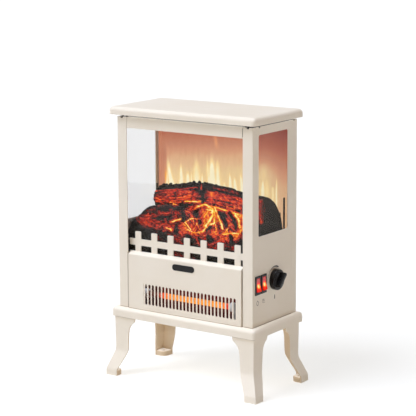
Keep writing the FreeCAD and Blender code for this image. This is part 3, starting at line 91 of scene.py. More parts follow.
def fbm(p, octaves=3, seed=0):
    total, amp, norm = 0, 1.0, 0.0
    q = np.asarray(p, float)
    for k in range(octaves):
        total = total + amp * noise3(q, seed + 17 * k)
        norm += amp
        amp *= 0.5
        q = q * 2.03 + 11.3
    return total / norm


def cells(p, seed=0):
    """Cellular noise at points p: (distance to the nearest cell point, gap to the second, the cell's own number)."""
    p = np.asarray(p, float)
    i = np.floor(p).astype(np.int64)
    f1 = np.full(len(p), 9.0)
    f2 = np.full(len(p), 9.0)
    own = np.zeros(len(p))
    for dx in (-1, 0, 1):
        for dy in (-1, 0, 1):
            for dz in (-1, 0, 1):
                cx, cy, cz = i[:, 0] + dx, i[:, 1] + dy, i[:, 2] + dz
                px = cx + _hash(cx, cy, cz, seed + 1)
                py = cy + _hash(cx, cy, cz, seed + 2)
                pz = cz + _hash(cx, cy, cz, seed + 3)
                d = np.sqrt((px - p[:, 0]) ** 2 + (py - p[:, 1]) ** 2 + (pz - p[:, 2]) ** 2)
                nearer = d < f1
                f2 = np.where(nearer, f1, np.minimum(f2, d))
                own = np.where(nearer, _hash(cx, cy, cz, seed + 4), own)
                f1 = np.where(nearer, d, f1)
    return f1, f2 - f1, own


# ------------------------------------------------------------------ camera
AZ, EL, ROLL, LENS = math.radians(34.75), math.radians(10.87), math.radians(-0.27), 135.53
BACK = np.array([math.sin(AZ) * math.cos(EL), -math.cos(AZ) * math.cos(EL), math.sin(EL)])
_r = np.array([math.cos(AZ), math.sin(AZ), 0.0])
_u = np.cross(BACK, _r)
RIGHT = _r * math.cos(ROLL) + _u * math.sin(ROLL)
UP = _u * math.cos(ROLL) - _r * math.sin(ROLL)
EYE = np.array([3.30, 2.29, 306.29]) + BACK * 2731.37

camera_data = bpy.data.cameras.new("camera")
camera = bpy.data.objects.new("camera", camera_data)
scene.collection.objects.link(camera)
camera_data.lens = LENS
camera_data.sensor_width = 36.0
camera_data.clip_start = 0.05
camera_data.clip_end = 200.0
camera.matrix_world = Matrix((
    (RIGHT[0], UP[0], BACK[0], EYE[0] * MM),
    (RIGHT[1], UP[1], BACK[1], EYE[1] * MM),
    (RIGHT[2], UP[2], BACK[2], EYE[2] * MM),
    (0, 0, 0, 1)))
scene.camera = camera


def sheet_uv(p):
    """Points (N, 3) in mm on a flat layout drawing of the front, seen square to (AZ, EL) from EYE, 416 units wide.
    The glow of the coals and the flames is laid out on it once, when the meshes are made."""
    d = np.asarray(p, float) - EYE
    depth = -(d @ BACK)
    k = LENS / 36.0 * 416.0
    return 208.0 + k * (d @ RIGHT) / depth, 208.0 - k * (d @ UP) / depth


# ------------------------------------------------------------------ meshes
def signed_volume(verts, faces):
    """Six times the volume that the faces close, negative if they face inwards."""
    tri = np.array([(f[0], f[k], f[k + 1]) for f in faces for k in range(1, len(f) - 1)])
    a, b, c = verts[tri[:, 0]], verts[tri[:, 1]], verts[tri[:, 2]]
    return float(np.einsum("ij,ij->i", a, np.cross(b, c)).sum())


def make(name, verts, faces, smooth_shade=True, body="housing"):
    verts = np.asarray(verts, float)
    if signed_volume(verts, faces) < 0:
        faces = [tuple(reversed(f)) for f in faces]
    me = bpy.data.meshes.new(name)
    me.from_pydata((verts * MM).tolist(), [], faces)
    me.update()
    if smooth_shade:
        me.shade_smooth()
    else:
        me.shade_flat()
    o = bpy.data.objects.new(name, me)
    scene.collection.objects.link(o)
    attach(o, body)
    return o


def joined(parts):
    """Several (verts, faces) as one."""
    verts, faces, n = [], [], 0
    for v, f in parts:
        verts.append(np.asarray(v, float))
        faces.extend([tuple(i + n for i in q) for q in f])
        n += len(v)
    return np.concatenate(verts), faces


def point_attr(o, name, values, kind="FLOAT"):
    a = o.data.attributes.new(name, kind, "POINT")
    if kind == "FLOAT":
        a.data.foreach_set("value", np.asarray(values, np.float32).ravel())
    elif kind == "FLOAT_VECTOR":
        a.data.foreach_set("vector", np.asarray(values, np.float32).ravel())
    else:
        a.data.foreach_set("color", np.asarray(values, np.float32).ravel())


def vertex_normals(o):
    n = np.zeros(len(o.data.vertices) * 3, np.float32)
    o.data.vertices.foreach_get("normal", n)
    return n.reshape(-1, 3).astype(float)


def coords(o):
    c = np.zeros(len(o.data.vertices) * 3, np.float32)
    o.data.vertices.foreach_get("co", c)
    return c.reshape(-1, 3).astype(float) / MM


def tube(points, radius, sides=8, closed_ends=True):
    """A round tube along a polyline, as (verts, faces). radius may be a list."""
    pts = np.asarray(points, float)
    n = len(pts)
    rad = np.broadcast_to(np.asarray(radius, float), (n,)) if np.ndim(radius) == 0 else np.asarray(radius, float)
    tan = np.gradient(pts, axis=0)
    tan /= np.linalg.norm(tan, axis=1)[:, None]
    ref = np.array([0, 0, 1.0]) if abs(tan[0][2]) < 0.9 else np.array([0, 1.0, 0])
    n1 = np.zeros_like(pts)
    for i in range(n):
        ref = ref - tan[i] * (ref @ tan[i])
        ref = ref / np.linalg.norm(ref)
        n1[i] = ref
    n2 = np.cross(tan, n1)
    ang = np.linspace(0, 2 * math.pi, sides, endpoint=False)
    v = (pts[:, None, :] + rad[:, None, None] * (n1[:, None, :] * np.cos(ang)[None, :, None] + n2[:, None, :] * np.sin(ang)[None, :, None])).reshape(-1, 3)
    f = []
    for i in range(n - 1):
        for j in range(sides):
            k = (j + 1) % sides
            f.append((i * sides + j, i * sides + k, (i + 1) * sides + k, (i + 1) * sides + j))
    if closed_ends:
        f.append(tuple(reversed(range(sides))))
        f.append(tuple(range((n - 1) * sides, n * sides)))
    return v, f


# ------------------------------------------------------------------ materials
class Mat:
    """A Principled material with a few node helpers."""

    def __init__(self, name):
        self.m = bpy.data.materials.new(name)
        self.m.use_nodes = True
        self.t = self.m.node_tree
        self.t.nodes.clear()
        self.out = self.t.nodes.new("ShaderNodeOutputMaterial")
        self.p = self.t.nodes.new("ShaderNodeBsdfPrincipled")
        self.t.links.new(self.p.outputs[0], self.out.inputs[0])
        self._pos = None

    def new(self, kind, **props):
        n = self.t.nodes.new(kind)
        for k, v in props.items():
            setattr(n, k, v)
        return n

    def link(self, a, b):
        self.t.links.new(a, b)

    def pos(self):
        """Object coordinates, in metres."""
        if self._pos is None:
            self._pos = self.new("ShaderNodeTexCoord").outputs["Object"]
        return self._pos

    def mapped(self, source=None, scale=(1, 1, 1), rot=(0, 0, 0), loc=(0, 0, 0)):
        n = self.new("ShaderNodeMapping")
        n.inputs["Scale"].default_value = scale
        n.inputs["Rotation"].default_value = rot
        n.inputs["Location"].default_value = loc
        self.link(source or self.pos(), n.inputs["Vector"])
        return n.outputs[0]

    def noise(self, scale, detail=3.0, rough=0.5, source=None, distortion=0.0):
        n = self.new("ShaderNodeTexNoise")
        n.inputs["Scale"].default_value = scale
        n.inputs["Detail"].default_value = detail
        n.inputs["Roughness"].default_value = rough
        n.inputs["Distortion"].default_value = distortion
        self.link(source or self.pos(), n.inputs["Vector"])
        return n.outputs[0]

    def cell(self, scale, feature="F1", source=None, randomness=1.0, out="Distance"):
        n = self.new("ShaderNodeTexVoronoi", feature=feature)
        n.inputs["Scale"].default_value = scale
        n.inputs["Randomness"].default_value = randomness
        self.link(source or self.pos(), n.inputs["Vector"])
        return n.outputs[out]

    def math(self, op, a, b=None, c=None, clamp=False):
        n = self.new("ShaderNodeMath", operation=op, use_clamp=clamp)
        for i, x in enumerate((a, b, c)):
            if x is None:
                continue
            if isinstance(x, (int, float)):
                n.inputs[i].default_value = x
            else:
                self.link(x, n.inputs[i])
        return n.outputs[0]

    def remap(self, value, a, b, to_a=0.0, to_b=1.0, kind="SMOOTHSTEP"):
        n = self.new("ShaderNodeMapRange", interpolation_type=kind)
        self.link(value, n.inputs["Value"])
        for k, x in (("From Min", a), ("From Max", b), ("To Min", to_a), ("To Max", to_b)):
            n.inputs[k].default_value = x
        return n.outputs[0]

    def ramp(self, value, stops, kind="LINEAR"):
        n = self.new("ShaderNodeValToRGB")
        n.color_ramp.interpolation = kind
        e = n.color_ramp.elements
        while len(e) > 1:
            e.remove(e[-1])
        e[0].position, e[0].color = stops[0]
        for at, col in stops[1:]:
            x = e.new(at)
            x.color = col
        self.link(value, n.inputs[0])
        return n.outputs[0]

    def mix(self, factor, a, b, blend="MIX"):
        n = self.new("ShaderNodeMix", data_type="RGBA", blend_type=blend)
        if isinstance(factor, (int, float)):
            n.inputs["Factor"].default_value = factor
        else:
            self.link(factor, n.inputs["Factor"])
        for key, x in (("A", a), ("B", b)):
            s = [i for i in n.inputs if i.name == key and i.type == "RGBA"][0]
            if isinstance(x, tuple):
                s.default_value = x
            else:
                self.link(x, s)
        return [o for o in n.outputs if o.type == "RGBA"][0]

    def attr(self, name, out="Fac"):
        n = self.new("ShaderNodeAttribute", attribute_name=name)
        return n.outputs[out]

    def xyz(self, source=None):
        n = self.new("ShaderNodeSeparateXYZ")
        self.link(source or self.pos(), n.inputs[0])
        return n.outputs

    def bump(self, height, strength, distance):
        n = self.new("ShaderNodeBump")
        n.inputs["Strength"].default_value = strength
        n.inputs["Distance"].default_value = distance
        self.link(height, n.inputs["Height"])
        self.link(n.outputs[0], self.p.inputs["Normal"])

    def set(self, **sockets):
        for k, v in sockets.items():
            k = k.replace("_", " ")
            if isinstance(v, (int, float, tuple)):
                self.p.inputs[k].default_value = v
            else:
                self.link(v, self.p.inputs[k])
        return self


def varied(name, colour, rough, spread=0.05, scale=22.0, rough_spread=0.06, metal=0.0, bump=None, speck=None, **extra):
    """A plain finish with slow colour drift, varied roughness and an optional fine bump: bump = (scale, strength, distance)."""
    m = Mat(name)
    dark = tuple(c * (1 - spread) for c in colour[:3]) + (1.0,)
    light = tuple(min(1.0, c * (1 + spread)) for c in colour[:3]) + (1.0,)
    slow = m.noise(scale, 4.0, 0.55)
    col = m.mix(m.remap(slow, 0.3, 0.7), dark, light)
    if speck:
        s_scale, s_amount, s_col = speck
        col = m.mix(m.remap(m.noise(s_scale, 2.0, 0.6), 0.62, 0.8, 0.0, s_amount), col, s_col)
    m.set(Base_Color=col, Metallic=metal, Roughness=m.remap(m.noise(scale * 3.1, 3.0, 0.6), 0.25, 0.75, rough - rough_spread, rough + rough_spread))
    if bump:
        m.bump(m.noise(bump[0], 2.0, 0.5), bump[1], bump[2])
    for k, v in extra.items():
        m.set(**{k: v})
    return m.m


CREAM = (0.797, 0.714, 0.594)


def enamel(name, colour, inner=None, seam_shadows=()):
    """Satin powder coat: slow tone drift, faint specks, orange-peel bump. inner is a tan painted shade laid on faces
    that look inwards, in the shaded hollows of the legs;
    the seam list paints a dark contact shadow along the thin lines where two parts meet: (from, to, axis, limit)."""
    m = Mat(name)
    base = tuple(colour) + (1.0,)
    warm = (colour[0] * 0.975, colour[1] * 0.962, colour[2] * 0.935, 1.0)
    col = m.mix(m.remap(m.noise(9.0, 4.0, 0.6), 0.3, 0.72), warm, base)
    col = m.mix(m.remap(m.noise(900.0, 2.0, 0.6), 0.60, 0.78, 0.0, 0.10), col, (colour[0] * 0.80, colour[1] * 0.78, colour[2] * 0.74, 1.0))
    # painted shade: faces that turn towards the middle of the part take the inner tan, standing in for the shade inside
    # the hollow legs
    if inner is not None:
        geo = m.new("ShaderNodeNewGeometry")
        n = m.xyz(geo.outputs["Normal"])
        q = m.xyz()
        toward = m.math("ADD", m.math("MULTIPLY", n[0], m.math("SIGN", q[0])), m.math("MULTIPLY", n[1], m.math("SIGN", q[1])))
        col = m.mix(m.remap(toward, -0.25, -0.75, 0.0, 0.85), col, inner)
    # painted contact shadow: a thin dark line along each listed seam, where the gap between two parts lies in shade
    for lo, hi, axis, limit in seam_shadows:
        q = m.xyz()
        at = m.math("MULTIPLY", m.remap(q[axis], lo - 0.0003, lo, 0.0, 1.0), m.remap(q[axis], hi, hi + 0.0004, 1.0, 0.0))
        if limit is not None:
            at = m.math("MULTIPLY", at, m.math("MULTIPLY", m.remap(q[2], limit[0], limit[0] + 0.0004, 1.0, 0.0), m.remap(q[1], limit[1], limit[1] + 0.0004, 1.0, 0.0)))
        col = m.mix(m.math("MULTIPLY", at, 0.62), col, (colour[0] * 0.30, colour[1] * 0.22, colour[2] * 0.16, 1.0))
    m.set(Base_Color=col, Roughness=m.remap(m.noise(60.0, 3.0, 0.6), 0.3, 0.7, 0.40, 0.50))
    m.set(Coat_Weight=0.06, Coat_Roughness=0.3)
    peel = m.math("ADD", m.noise(650.0, 2.0, 0.5), m.math("MULTIPLY", m.noise(150.0, 2.0, 0.5), 0.6))
    m.bump(peel, 0.10, 0.00025)
    return m.m


MATERIAL = {
    "cream_enamel": enamel("cream_enamel", CREAM),
    # cream_side and cream_front: painted contact shadow along the seam with the base; cream_side also along the left
    # edge of the lower front panel
    "cream_side": enamel("cream_side", CREAM, None, [(0.1240, 0.1258, 2, None), (-0.1228, -0.1211, 0, (0.2250, -0.0655))]),
    "cream_front": enamel("cream_front", CREAM, None, [(0.1240, 0.1256, 2, None)]),
    # cream_leg: tan painted shade in the leg hollows, and a painted contact shadow along the top of the legs under the
    # base rim
    "cream_leg": enamel("cream_leg", CREAM, (0.60, 0.44, 0.27, 1.0), [(0.1064, 0.1090, 2, None)]),
    # painted shade: the top deck is made near-black so the thin gaps under the top cover and beside the header read as
    # dark shadow lines
    "deck_painted_shade": varied("deck_painted_shade", (0.045, 0.036, 0.030), 0.6, 0.2, 60.0),
    # painted light: the picket fence takes the cream 2 % lighter, for the extra light its face catches from above
    "cream_moulding": enamel("cream_moulding", (CREAM[0] * 1.02, CREAM[1] * 1.02, CREAM[2] * 1.02)),
    "zinc_steel": varied("zinc_steel", (0.55, 0.56, 0.57), 0.38, 0.10, 160.0, 0.08, 1.0),
    "black_sheet": varied("black_sheet", (0.020, 0.019, 0.018), 0.62, 0.25, 40.0, 0.08, 0.0, (900.0, 0.2, 0.0002)),
    "badge_black": varied("badge_black", (0.006, 0.005, 0.005), 0.32, 0.25, 90.0, 0.05, 0.0, (500.0, 0.1, 0.0001), None, Specular_IOR_Level=0.3),
    "rubber_black": varied("rubber_black", (0.016, 0.016, 0.016), 0.7, 0.2, 120.0, 0.06, 0.0, (700.0, 0.3, 0.0002)),
    "ceramic_white": varied("ceramic_white", (0.80, 0.78, 0.74), 0.45, 0.05, 90.0, 0.06, 0.0, (900.0, 0.15, 0.0002)),
    "switch_black": varied("switch_black", (0.0035, 0.003, 0.003), 0.42, 0.3, 150.0, 0.06, 0.0, (1500.0, 0.15, 0.0001)),
    "knob_black": varied("knob_black", (0.0030, 0.0022, 0.0020), 0.30, 0.3, 120.0, 0.05, 0.0, (1200.0, 0.08, 0.0001), None, Specular_IOR_Level=0.32),
    "nylon_white": varied("nylon_white", (0.72, 0.71, 0.67), 0.5, 0.06, 120.0),
    "component_dark": varied("component_dark", (0.030, 0.030, 0.034), 0.42, 0.25, 200.0),
    "gland_black": varied("gland_black", (0.014, 0.014, 0.014), 0.48, 0.25, 180.0, 0.06, 0.0, (900.0, 0.2, 0.0001)),
    "screw_steel": varied("screw_steel", (0.50, 0.49, 0.47), 0.32, 0.12, 300.0, 0.08, 1.0),
}


def board_material():
    m = Mat("circuit_board")
    track = m.new("ShaderNodeTexBrick")
    track.inputs["Scale"].default_value = 60.0
    track.inputs["Mortar Size"].default_value = 0.04
    m.link(m.pos(), track.inputs["Vector"])
    col = m.mix(m.remap(m.noise(60.0, 3.0), 0.35, 0.65), (0.010, 0.075, 0.030, 1), (0.014, 0.10, 0.042, 1))
    col = m.mix(m.remap(track.outputs["Fac"], 0.2, 0.8, 0.0, 0.6), col, (0.05, 0.16, 0.06, 1))
    m.set(Base_Color=col, Roughness=m.remap(m.noise(200.0), 0.3, 0.7, 0.35, 0.5))
    return m.m


def led_material():
    m = Mat("led_lens")
    f = m.remap(m.noise(300.0, 2.0), 0.3, 0.7)
    m.set(Base_Color=m.mix(f, (0.85, 0.42, 0.10, 1), (0.95, 0.55, 0.18, 1)), Roughness=m.remap(m.noise(500.0), 0.3, 0.7, 0.12, 0.2),
          Emission_Color=m.mix(f, (1.0, 0.30, 0.05, 1), (1.0, 0.42, 0.10, 1)))
    m.p.inputs["Emission Strength"].default_value = 1.2
    return m.m


def glass_material():
    """Thin clear glass: mostly see-through, a little more mirror and tint towards grazing angles, faint smears in the
    roughness, and a grey painted reflection over the lower part of the left pane.
    """
    m = Mat("window_glass")
    lw = m.new("ShaderNodeLayerWeight")
    lw.inputs["Blend"].default_value = 0.35
    smear = m.noise(14.0, 4.0, 0.6, distortion=0.6)
    q = m.xyz()
    # painted reflection: below a slanted line on the left pane the glass turns greyer and less clear
    rim = m.math("ADD", m.math("ADD", q[2], m.math("MULTIPLY", q[1], 0.16)), m.math("MULTIPLY", m.noise(22.0, 3.0, 0.6), 0.012))
    painted_reflection = m.math("MULTIPLY", m.remap(rim, 0.3455, 0.3400, 0.0, 1.0), m.remap(q[0], -0.134, -0.136, 0.0, 1.0))
    alpha = m.math("ADD", m.remap(lw.outputs["Facing"], 0.25, 1.0, 0.052, 0.34, "LINEAR"), m.math("MULTIPLY", painted_reflection, 0.055))
    tone = m.mix(m.remap(smear, 0.3, 0.7), (0.13, 0.105, 0.065, 1), (0.17, 0.14, 0.09, 1))
    m.set(Base_Color=m.mix(painted_reflection, tone, (0.56, 0.53, 0.55, 1)), Alpha=alpha, Roughness=m.remap(smear, 0.35, 0.75, 0.02, 0.06))
    m.p.inputs["Specular IOR Level"].default_value = 0.8
    m.m.blend_method = "BLEND" if hasattr(m.m, "blend_method") else m.m.blend_method
    return m.m


def acrylic_material():
    m = Mat("flame_acrylic")
    z = m.remap(m.xyz()[2], 0.22, 0.46, 0.0, 1.0, "LINEAR")
    tint = m.ramp(z, [(0.0, lin(250, 215, 150)), (0.45, lin(225, 170, 120)), (1.0, lin(170, 95, 70))])
    m.set(Base_Color=m.mix(0.25, tint, (0.8, 0.8, 0.78, 1)), Roughness=m.remap(m.noise(120.0), 0.3, 0.7, 0.35, 0.5), Emission_Color=tint)
    m.p.inputs["Emission Strength"].default_value = 0.45
    return m.m


def reflector_material():
    """Polished reflector with the dull red light of the element painted on as emission."""
    m = Mat("bright_reflector")
    q = m.xyz()
    x_in = m.remap(m.math("ABSOLUTE", q[0]), 0.06, 0.105, 1.0, 0.12)
    near = m.remap(m.math("ABSOLUTE", m.math("SUBTRACT", q[2], 0.150)), 0.004, 0.024, 1.0, 0.38)
    streak = m.remap(m.noise(30.0, 3.0, 0.6, m.mapped(scale=(1.0, 8.0, 8.0))), 0.3, 0.7, 0.75, 1.15)
    # painted glow: the element's red light on the reflector, strongest mid-length and near the tube height, broken into
    # streaks
    glow = m.math("MULTIPLY", m.math("MULTIPLY", x_in, near), streak)
    m.set(Base_Color=m.mix(m.remap(m.noise(40.0), 0.3, 0.7), (0.060, 0.036, 0.034, 1), (0.085, 0.050, 0.046, 1)), Metallic=1.0,
          Roughness=m.remap(m.noise(200.0, 3.0), 0.3, 0.7, 0.24, 0.36), Emission_Color=m.ramp(glow, [(0.0, (0.004, 0.0003, 0.0003, 1)), (0.45, (0.032, 0.0016, 0.0012, 1)), (1.0, (0.090, 0.004, 0.003, 1))]))
    m.p.inputs["Emission Strength"].default_value = 1.0
    return m.m


def quartz_material():
    """Satin quartz sleeve: glows amber over the lit length, red then dull at the ends."""
    m = Mat("quartz")
    x = m.remap(m.xyz()[0], -0.100, 0.095, 0.0, 1.0, "LINEAR")
    glow = m.ramp(x, [(0.0, (0.010, 0.0006, 0.0005, 1)), (0.165, (0.045, 0.0016, 0.0012, 1)), (0.20, (0.70, 0.030, 0.006, 1)), (0.24, (1.0, 0.155, 0.010, 1)), (0.30, (1.0, 0.29, 0.016, 1)),
                      (0.80, (1.0, 0.32, 0.018, 1)), (0.885, (1.0, 0.175, 0.010, 1)), (0.915, (0.70, 0.010, 0.006, 1)), (0.945, (0.050, 0.002, 0.0015, 1)), (1.0, (0.015, 0.001, 0.001, 1))])
    wisp = m.remap(m.noise(46.0, 3.0, 0.6, m.mapped(scale=(1.0, 3.0, 5.0))), 0.30, 0.72, 0.80, 1.22)
    n = m.new("ShaderNodeVectorMath", operation="SCALE")
    m.link(glow, n.inputs[0])
    m.link(wisp, n.inputs["Scale"])
    m.set(Base_Color=m.mix(m.remap(m.noise(90.0), 0.3, 0.7), (0.10, 0.045, 0.025, 1), (0.14, 0.06, 0.035, 1)), Roughness=m.remap(m.noise(300.0), 0.3, 0.7, 0.25, 0.35),
          Emission_Color=n.outputs[0], Alpha=m.remap(m.noise(120.0), 0.3, 0.7, 0.80, 0.92))
    m.p.inputs["Emission Strength"].default_value = 1.0
    return m.m


def wire_material():
    m = Mat("heating_wire")
    x = m.remap(m.math("ABSOLUTE", m.math("SUBTRACT", m.xyz()[0], 0.003)), 0.052, 0.088, 0.0, 1.0)
    m.set(Base_Color=m.mix(m.remap(m.noise(400.0), 0.3, 0.7), (0.20, 0.12, 0.08, 1), (0.28, 0.17, 0.11, 1)), Roughness=m.remap(m.noise(600.0), 0.3, 0.7, 0.4, 0.6),
          Emission_Color=m.ramp(x, [(0.0, (1.0, 0.42, 0.06, 1)), (0.5, (0.95, 0.16, 0.02, 1)), (1.0, (0.10, 0.004, 0.002, 1))]))
    m.p.inputs["Emission Strength"].default_value = 1.6
    return m.m


def rocker_material():
    """Translucent red lens with a neon lamp behind it: the hot spot sits in the lower half."""
    m = Mat("rocker_red")
    q = m.xyz()
    both = []
    for y0 in (-0.0508, -0.0325):
        dy = m.math("DIVIDE", m.math("SUBTRACT", q[1], y0 - 0.0006), 0.0046)
        dz = m.math("DIVIDE", m.math("SUBTRACT", q[2], 0.1958), 0.0040)
        both.append(m.math("SQRT", m.math("ADD", m.math("POWER", dy, 2.0), m.math("POWER", dz, 2.0))))
    d = m.math("MINIMUM", both[0], both[1])
    spot = m.remap(m.math("ADD", d, m.math("MULTIPLY", m.noise(700.0, 2.0), 0.25)), 0.45, 1.6, 1.0, 0.0)
    low = m.remap(q[2], 0.190, 0.2015, 0.9, 0.05)
    soft = m.remap(d, 0.8, 2.6, 0.5, 0.0)
    level = m.math("ADD", m.math("MULTIPLY", spot, 0.62), m.math("ADD", m.math("MULTIPLY", low, 0.20), m.math("MULTIPLY", soft, 0.30)), clamp=True)
    glow = m.ramp(level, [(0.0, lin(92, 5, 3)), (0.14, lin(176, 12, 8)), (0.34, lin(236, 50, 26)), (0.56, lin(255, 120, 50)), (0.74, lin(255, 214, 60)), (0.92, lin(255, 250, 190))])
    m.set(Base_Color=m.mix(m.remap(m.noise(300.0), 0.3, 0.7), (0.50, 0.012, 0.010, 1), (0.62, 0.020, 0.014, 1)), Roughness=m.remap(m.noise(500.0), 0.3, 0.7, 0.16, 0.26),
          Emission_Color=glow)
    m.p.inputs["Emission Strength"].default_value = 0.85
    m.set(Coat_Weight=0.3)
    return m.m


MATERIAL["circuit_board"] = board_material()
MATERIAL["led_lens"] = led_material()
MATERIAL["window_glass"] = glass_material()
MATERIAL["flame_acrylic"] = acrylic_material()
MATERIAL["bright_reflector"] = reflector_material()
MATERIAL["quartz"] = quartz_material()
MATERIAL["heating_wire"] = wire_material()
MATERIAL["rocker_red"] = rocker_material()

FINISH = {
    "cream_enamel": ["rear_cover", "header_bar", "top_cover", "base_plate"],
    "cream_side": ["right_side_panel", "left_side_panel"],
    "cream_front": ["front_panel"],
    "deck_painted_shade": ["top_deck"],
    "rubber_black": ["cover_spacers"],
    "cream_moulding": ["picket_fence"],
    "cream_leg": ["leg_front_right", "leg_front_left", "leg_rear_left", "leg_rear_right"],
    "badge_black": ["badge"],
    "window_glass": ["right_glass", "left_glass", "front_glass"],
    "zinc_steel": ["side_glass_clips", "tube_brackets", "motor_bracket", "spindle_bracket", "led_bracket", "thermostat_nut", "flame_spindle"],
    "flame_acrylic": ["flame_screen"],
    "black_sheet": ["hearth_floor", "flame_mask", "screen_uprights"],
    "bright_reflector": ["heater_reflector"],
    "quartz": ["quartz_tube"],
    "ceramic_white": ["ceramic_end_caps"],
    "switch_black": ["flame_switch_housing", "heat_switch_housing"],
    "rocker_red": ["flame_rocker", "heat_rocker"],
    "knob_black": ["control_knob"],
    "nylon_white": ["spindle_bush", "light_board_spacers", "driver_board_spacers", "terminal_block"],
    "circuit_board": ["flame_light_board", "ember_light_board", "driver_board"],
    "led_lens": ["flame_leds", "ember_leds"],
    "component_dark": ["driver_components", "thermal_cutout", "thermostat_body", "spindle_motor"],
    "gland_black": ["cord_gland", "gland_nut"],
    "screw_steel": ["base_screws", "rear_screws", "leg_screws", "thermostat_shaft"],
}
for finish, names in FINISH.items():
    for n in names:
        o = NODES[n]
        if not o.material_slots:
            o.data.materials.append(MATERIAL[finish])
        for s in o.material_slots:
            s.material = MATERIAL[finish]


# ------------------------------------------------------------------ layout of the glow
def near_line(u, v, pts):
    """Distance from (u, v) to a polyline, in layout units."""
    best = np.full(len(u), 1e9)
    for (a, b), (c, d) in zip(pts[:-1], pts[1:]):
        du, dv = c - a, d - b
        t = np.clip(((u - a) * du + (v - b) * dv) / max(du * du + dv * dv, 1e-9), 0, 1)
        best = np.minimum(best, np.hypot(u - a - t * du, v - b - t * dv))
    return best


# soft patches: centre u, centre v, half width, half height, tilt (v per u), heat
PATCHES = [
    (177, 196.0, 27, 8.5, -0.03, 0.53), (226, 200, 26, 12.5, 0.22, 0.60), (208, 217, 15, 13, 0.0, 0.74), (235, 221, 11, 11, 0.2, 0.68),
    (212, 211, 9, 6, 0.2, 0.84), (206, 222, 8, 6, -0.5, 0.80),
    (148, 221, 12, 9, 0.15, 0.50), (164, 226, 16, 7, 0.10, 0.50), (189, 229, 19, 9, 0.10, 0.62), (222, 236, 26, 8, 0.06, 0.66),
    (178, 238, 32, 9, 0.16, 0.34), (218, 245, 28, 8, 0.14, 0.36), (164, 213, 22, 9, -0.08, 0.42), (260, 209, 7.0, 14, 0.1, 0.52),
    (141, 219, 6, 6, 0.0, 0.40), (192, 213, 10, 9, 0.0, 0.55), (160, 199, 7, 6, 0.0, 0.52),
]
# glowing splits: points, half width, heat
HOT = [
    ([(155, 191.2), (172, 189.6), (197, 187.1)], 0.8, 0.66), ([(180, 190.5), (181, 195.6)], 0.4, 0.72), ([(189, 190), (191.5, 197)], 0.4, 0.62),
    ([(169.5, 202.3), (181, 201.8)], 0.8, 0.80), ([(185, 201.3), (201, 201.9)], 0.95, 0.95), ([(173.5, 203.9), (176.5, 204.8)], 1.3, 0.84),
    ([(159.3, 199), (163.4, 204)], 0.6, 0.62), ([(201.9, 184), (201.0, 189.4)], 0.9, 0.68),
    ([(209, 192), (242.6, 199.5)], 0.9, 0.60), ([(206, 195.5), (243, 204)], 0.8, 0.62), ([(211.9, 192.8), (211.4, 205)], 0.45, 0.78),
    ([(220.7, 195), (221.9, 203)], 0.45, 0.68), ([(225.8, 201), (227.2, 208)], 0.5, 0.86), ([(233.9, 204), (234.4, 209)], 0.55, 0.82),
    ([(238.4, 205), (239, 210)], 0.5, 0.74), ([(202.6, 196), (207.3, 199.2)], 0.5, 0.66),
    ([(193.6, 209.5), (198.5, 206.2), (205.5, 204.6), (213.5, 209)], 1.1, 0.92), ([(212.3, 209.5), (212.9, 215), (209.6, 220), (206, 226)], 2.1, 0.92),
    ([(202.2, 232), (206, 228), (211.2, 224), (215.2, 223)], 1.1, 1.0), ([(214.6, 207.5), (218.7, 217.5), (221.8, 224.5), (222.7, 229.2)], 1.05, 1.0),
    ([(214.2, 210), (214.8, 223), (216.4, 229.4)], 1.0, 0.86), ([(215.9, 207.1), (225.5, 210.3), (235, 213.5), (243, 216.2)], 1.4, 0.93),
    ([(225.5, 211), (229.6, 217.6)], 0.9, 0.80), ([(235, 214.3), (239, 221.5), (240.7, 230.4)], 1.8, 0.94), ([(242.6, 216.7), (243.2, 231)], 1.3, 0.82),
    ([(231.1, 223.5), (226.3, 230.3)], 0.6, 0.86), ([(184.6, 222.4), (192, 218.2), (200, 219.2)], 0.6, 1.0), ([(185.6, 223), (190.5, 229.4)], 0.8, 0.95),
    ([(192.8, 215.8), (193.8, 224.8)], 0.5, 0.82), ([(186.4, 215), (188, 210.3), (192, 207.8)], 0.7, 0.70), ([(196.6, 223), (199, 228)], 0.6, 0.86),
    ([(152.9, 214.3), (162.5, 211.9)], 0.7, 0.46), ([(175.2, 211), (176.1, 217.6)], 0.9, 0.52), ([(170.4, 222.4), (175, 220.6), (181, 219)], 1.0, 0.86),
    ([(158.2, 221.2), (159.2, 222)], 1.3, 0.68), ([(164.8, 219), (166.5, 221.6)], 0.7, 0.62), ([(148, 211), (148.9, 218.4)], 0.8, 0.60),
    ([(146.4, 220.6), (149, 226.4)], 0.7, 0.62), ([(152.9, 227), (159.3, 229.5)], 0.8, 0.62), ([(160.1, 226.3), (166.6, 222.3)], 0.8, 0.64),
    ([(166, 227.6), (170.6, 229.6)], 0.9, 0.84), ([(170.3, 228.8), (171, 230.2)], 1.2, 0.95), ([(141, 214.8), (140.2, 220)], 0.6, 0.52),
    ([(138.8, 221), (145, 226)], 0.6, 0.50), ([(222.4, 234.2), (230, 233.6), (240, 233.2)], 1.1, 0.92), ([(187.2, 229.4), (194.6, 232.8), (204.7, 231)], 0.9, 0.88),
    ([(195.2, 237.4), (198.5, 243.2)], 1.1, 0.66), ([(208.6, 244.6), (219, 242)], 0.9, 0.64), ([(222, 240), (236, 242)], 0.9, 0.62),
    ([(261, 219.6), (261.4, 222.6)], 1.0, 0.84), ([(257.5, 201.5), (263.5, 203.5)], 0.6, 0.58), ([(257.5, 211), (262.5, 212.2)], 0.7, 0.56),
    ([(257.5, 205.2), (265.2, 207)], 0.5, 0.60), ([(257.5, 208.2), (264.2, 209.6)], 0.5, 0.55), ([(257.5, 214.6), (261.6, 215.6)], 0.6, 0.60),
    ([(257.5, 198.8), (261, 199.8)], 0.5, 0.50), ([(258, 218), (262, 219)], 0.9, 0.66), ([(158, 205.5), (170, 203.6)], 0.6, 0.42), ([(154, 216), (164, 214.2)], 0.5, 0.50),
]
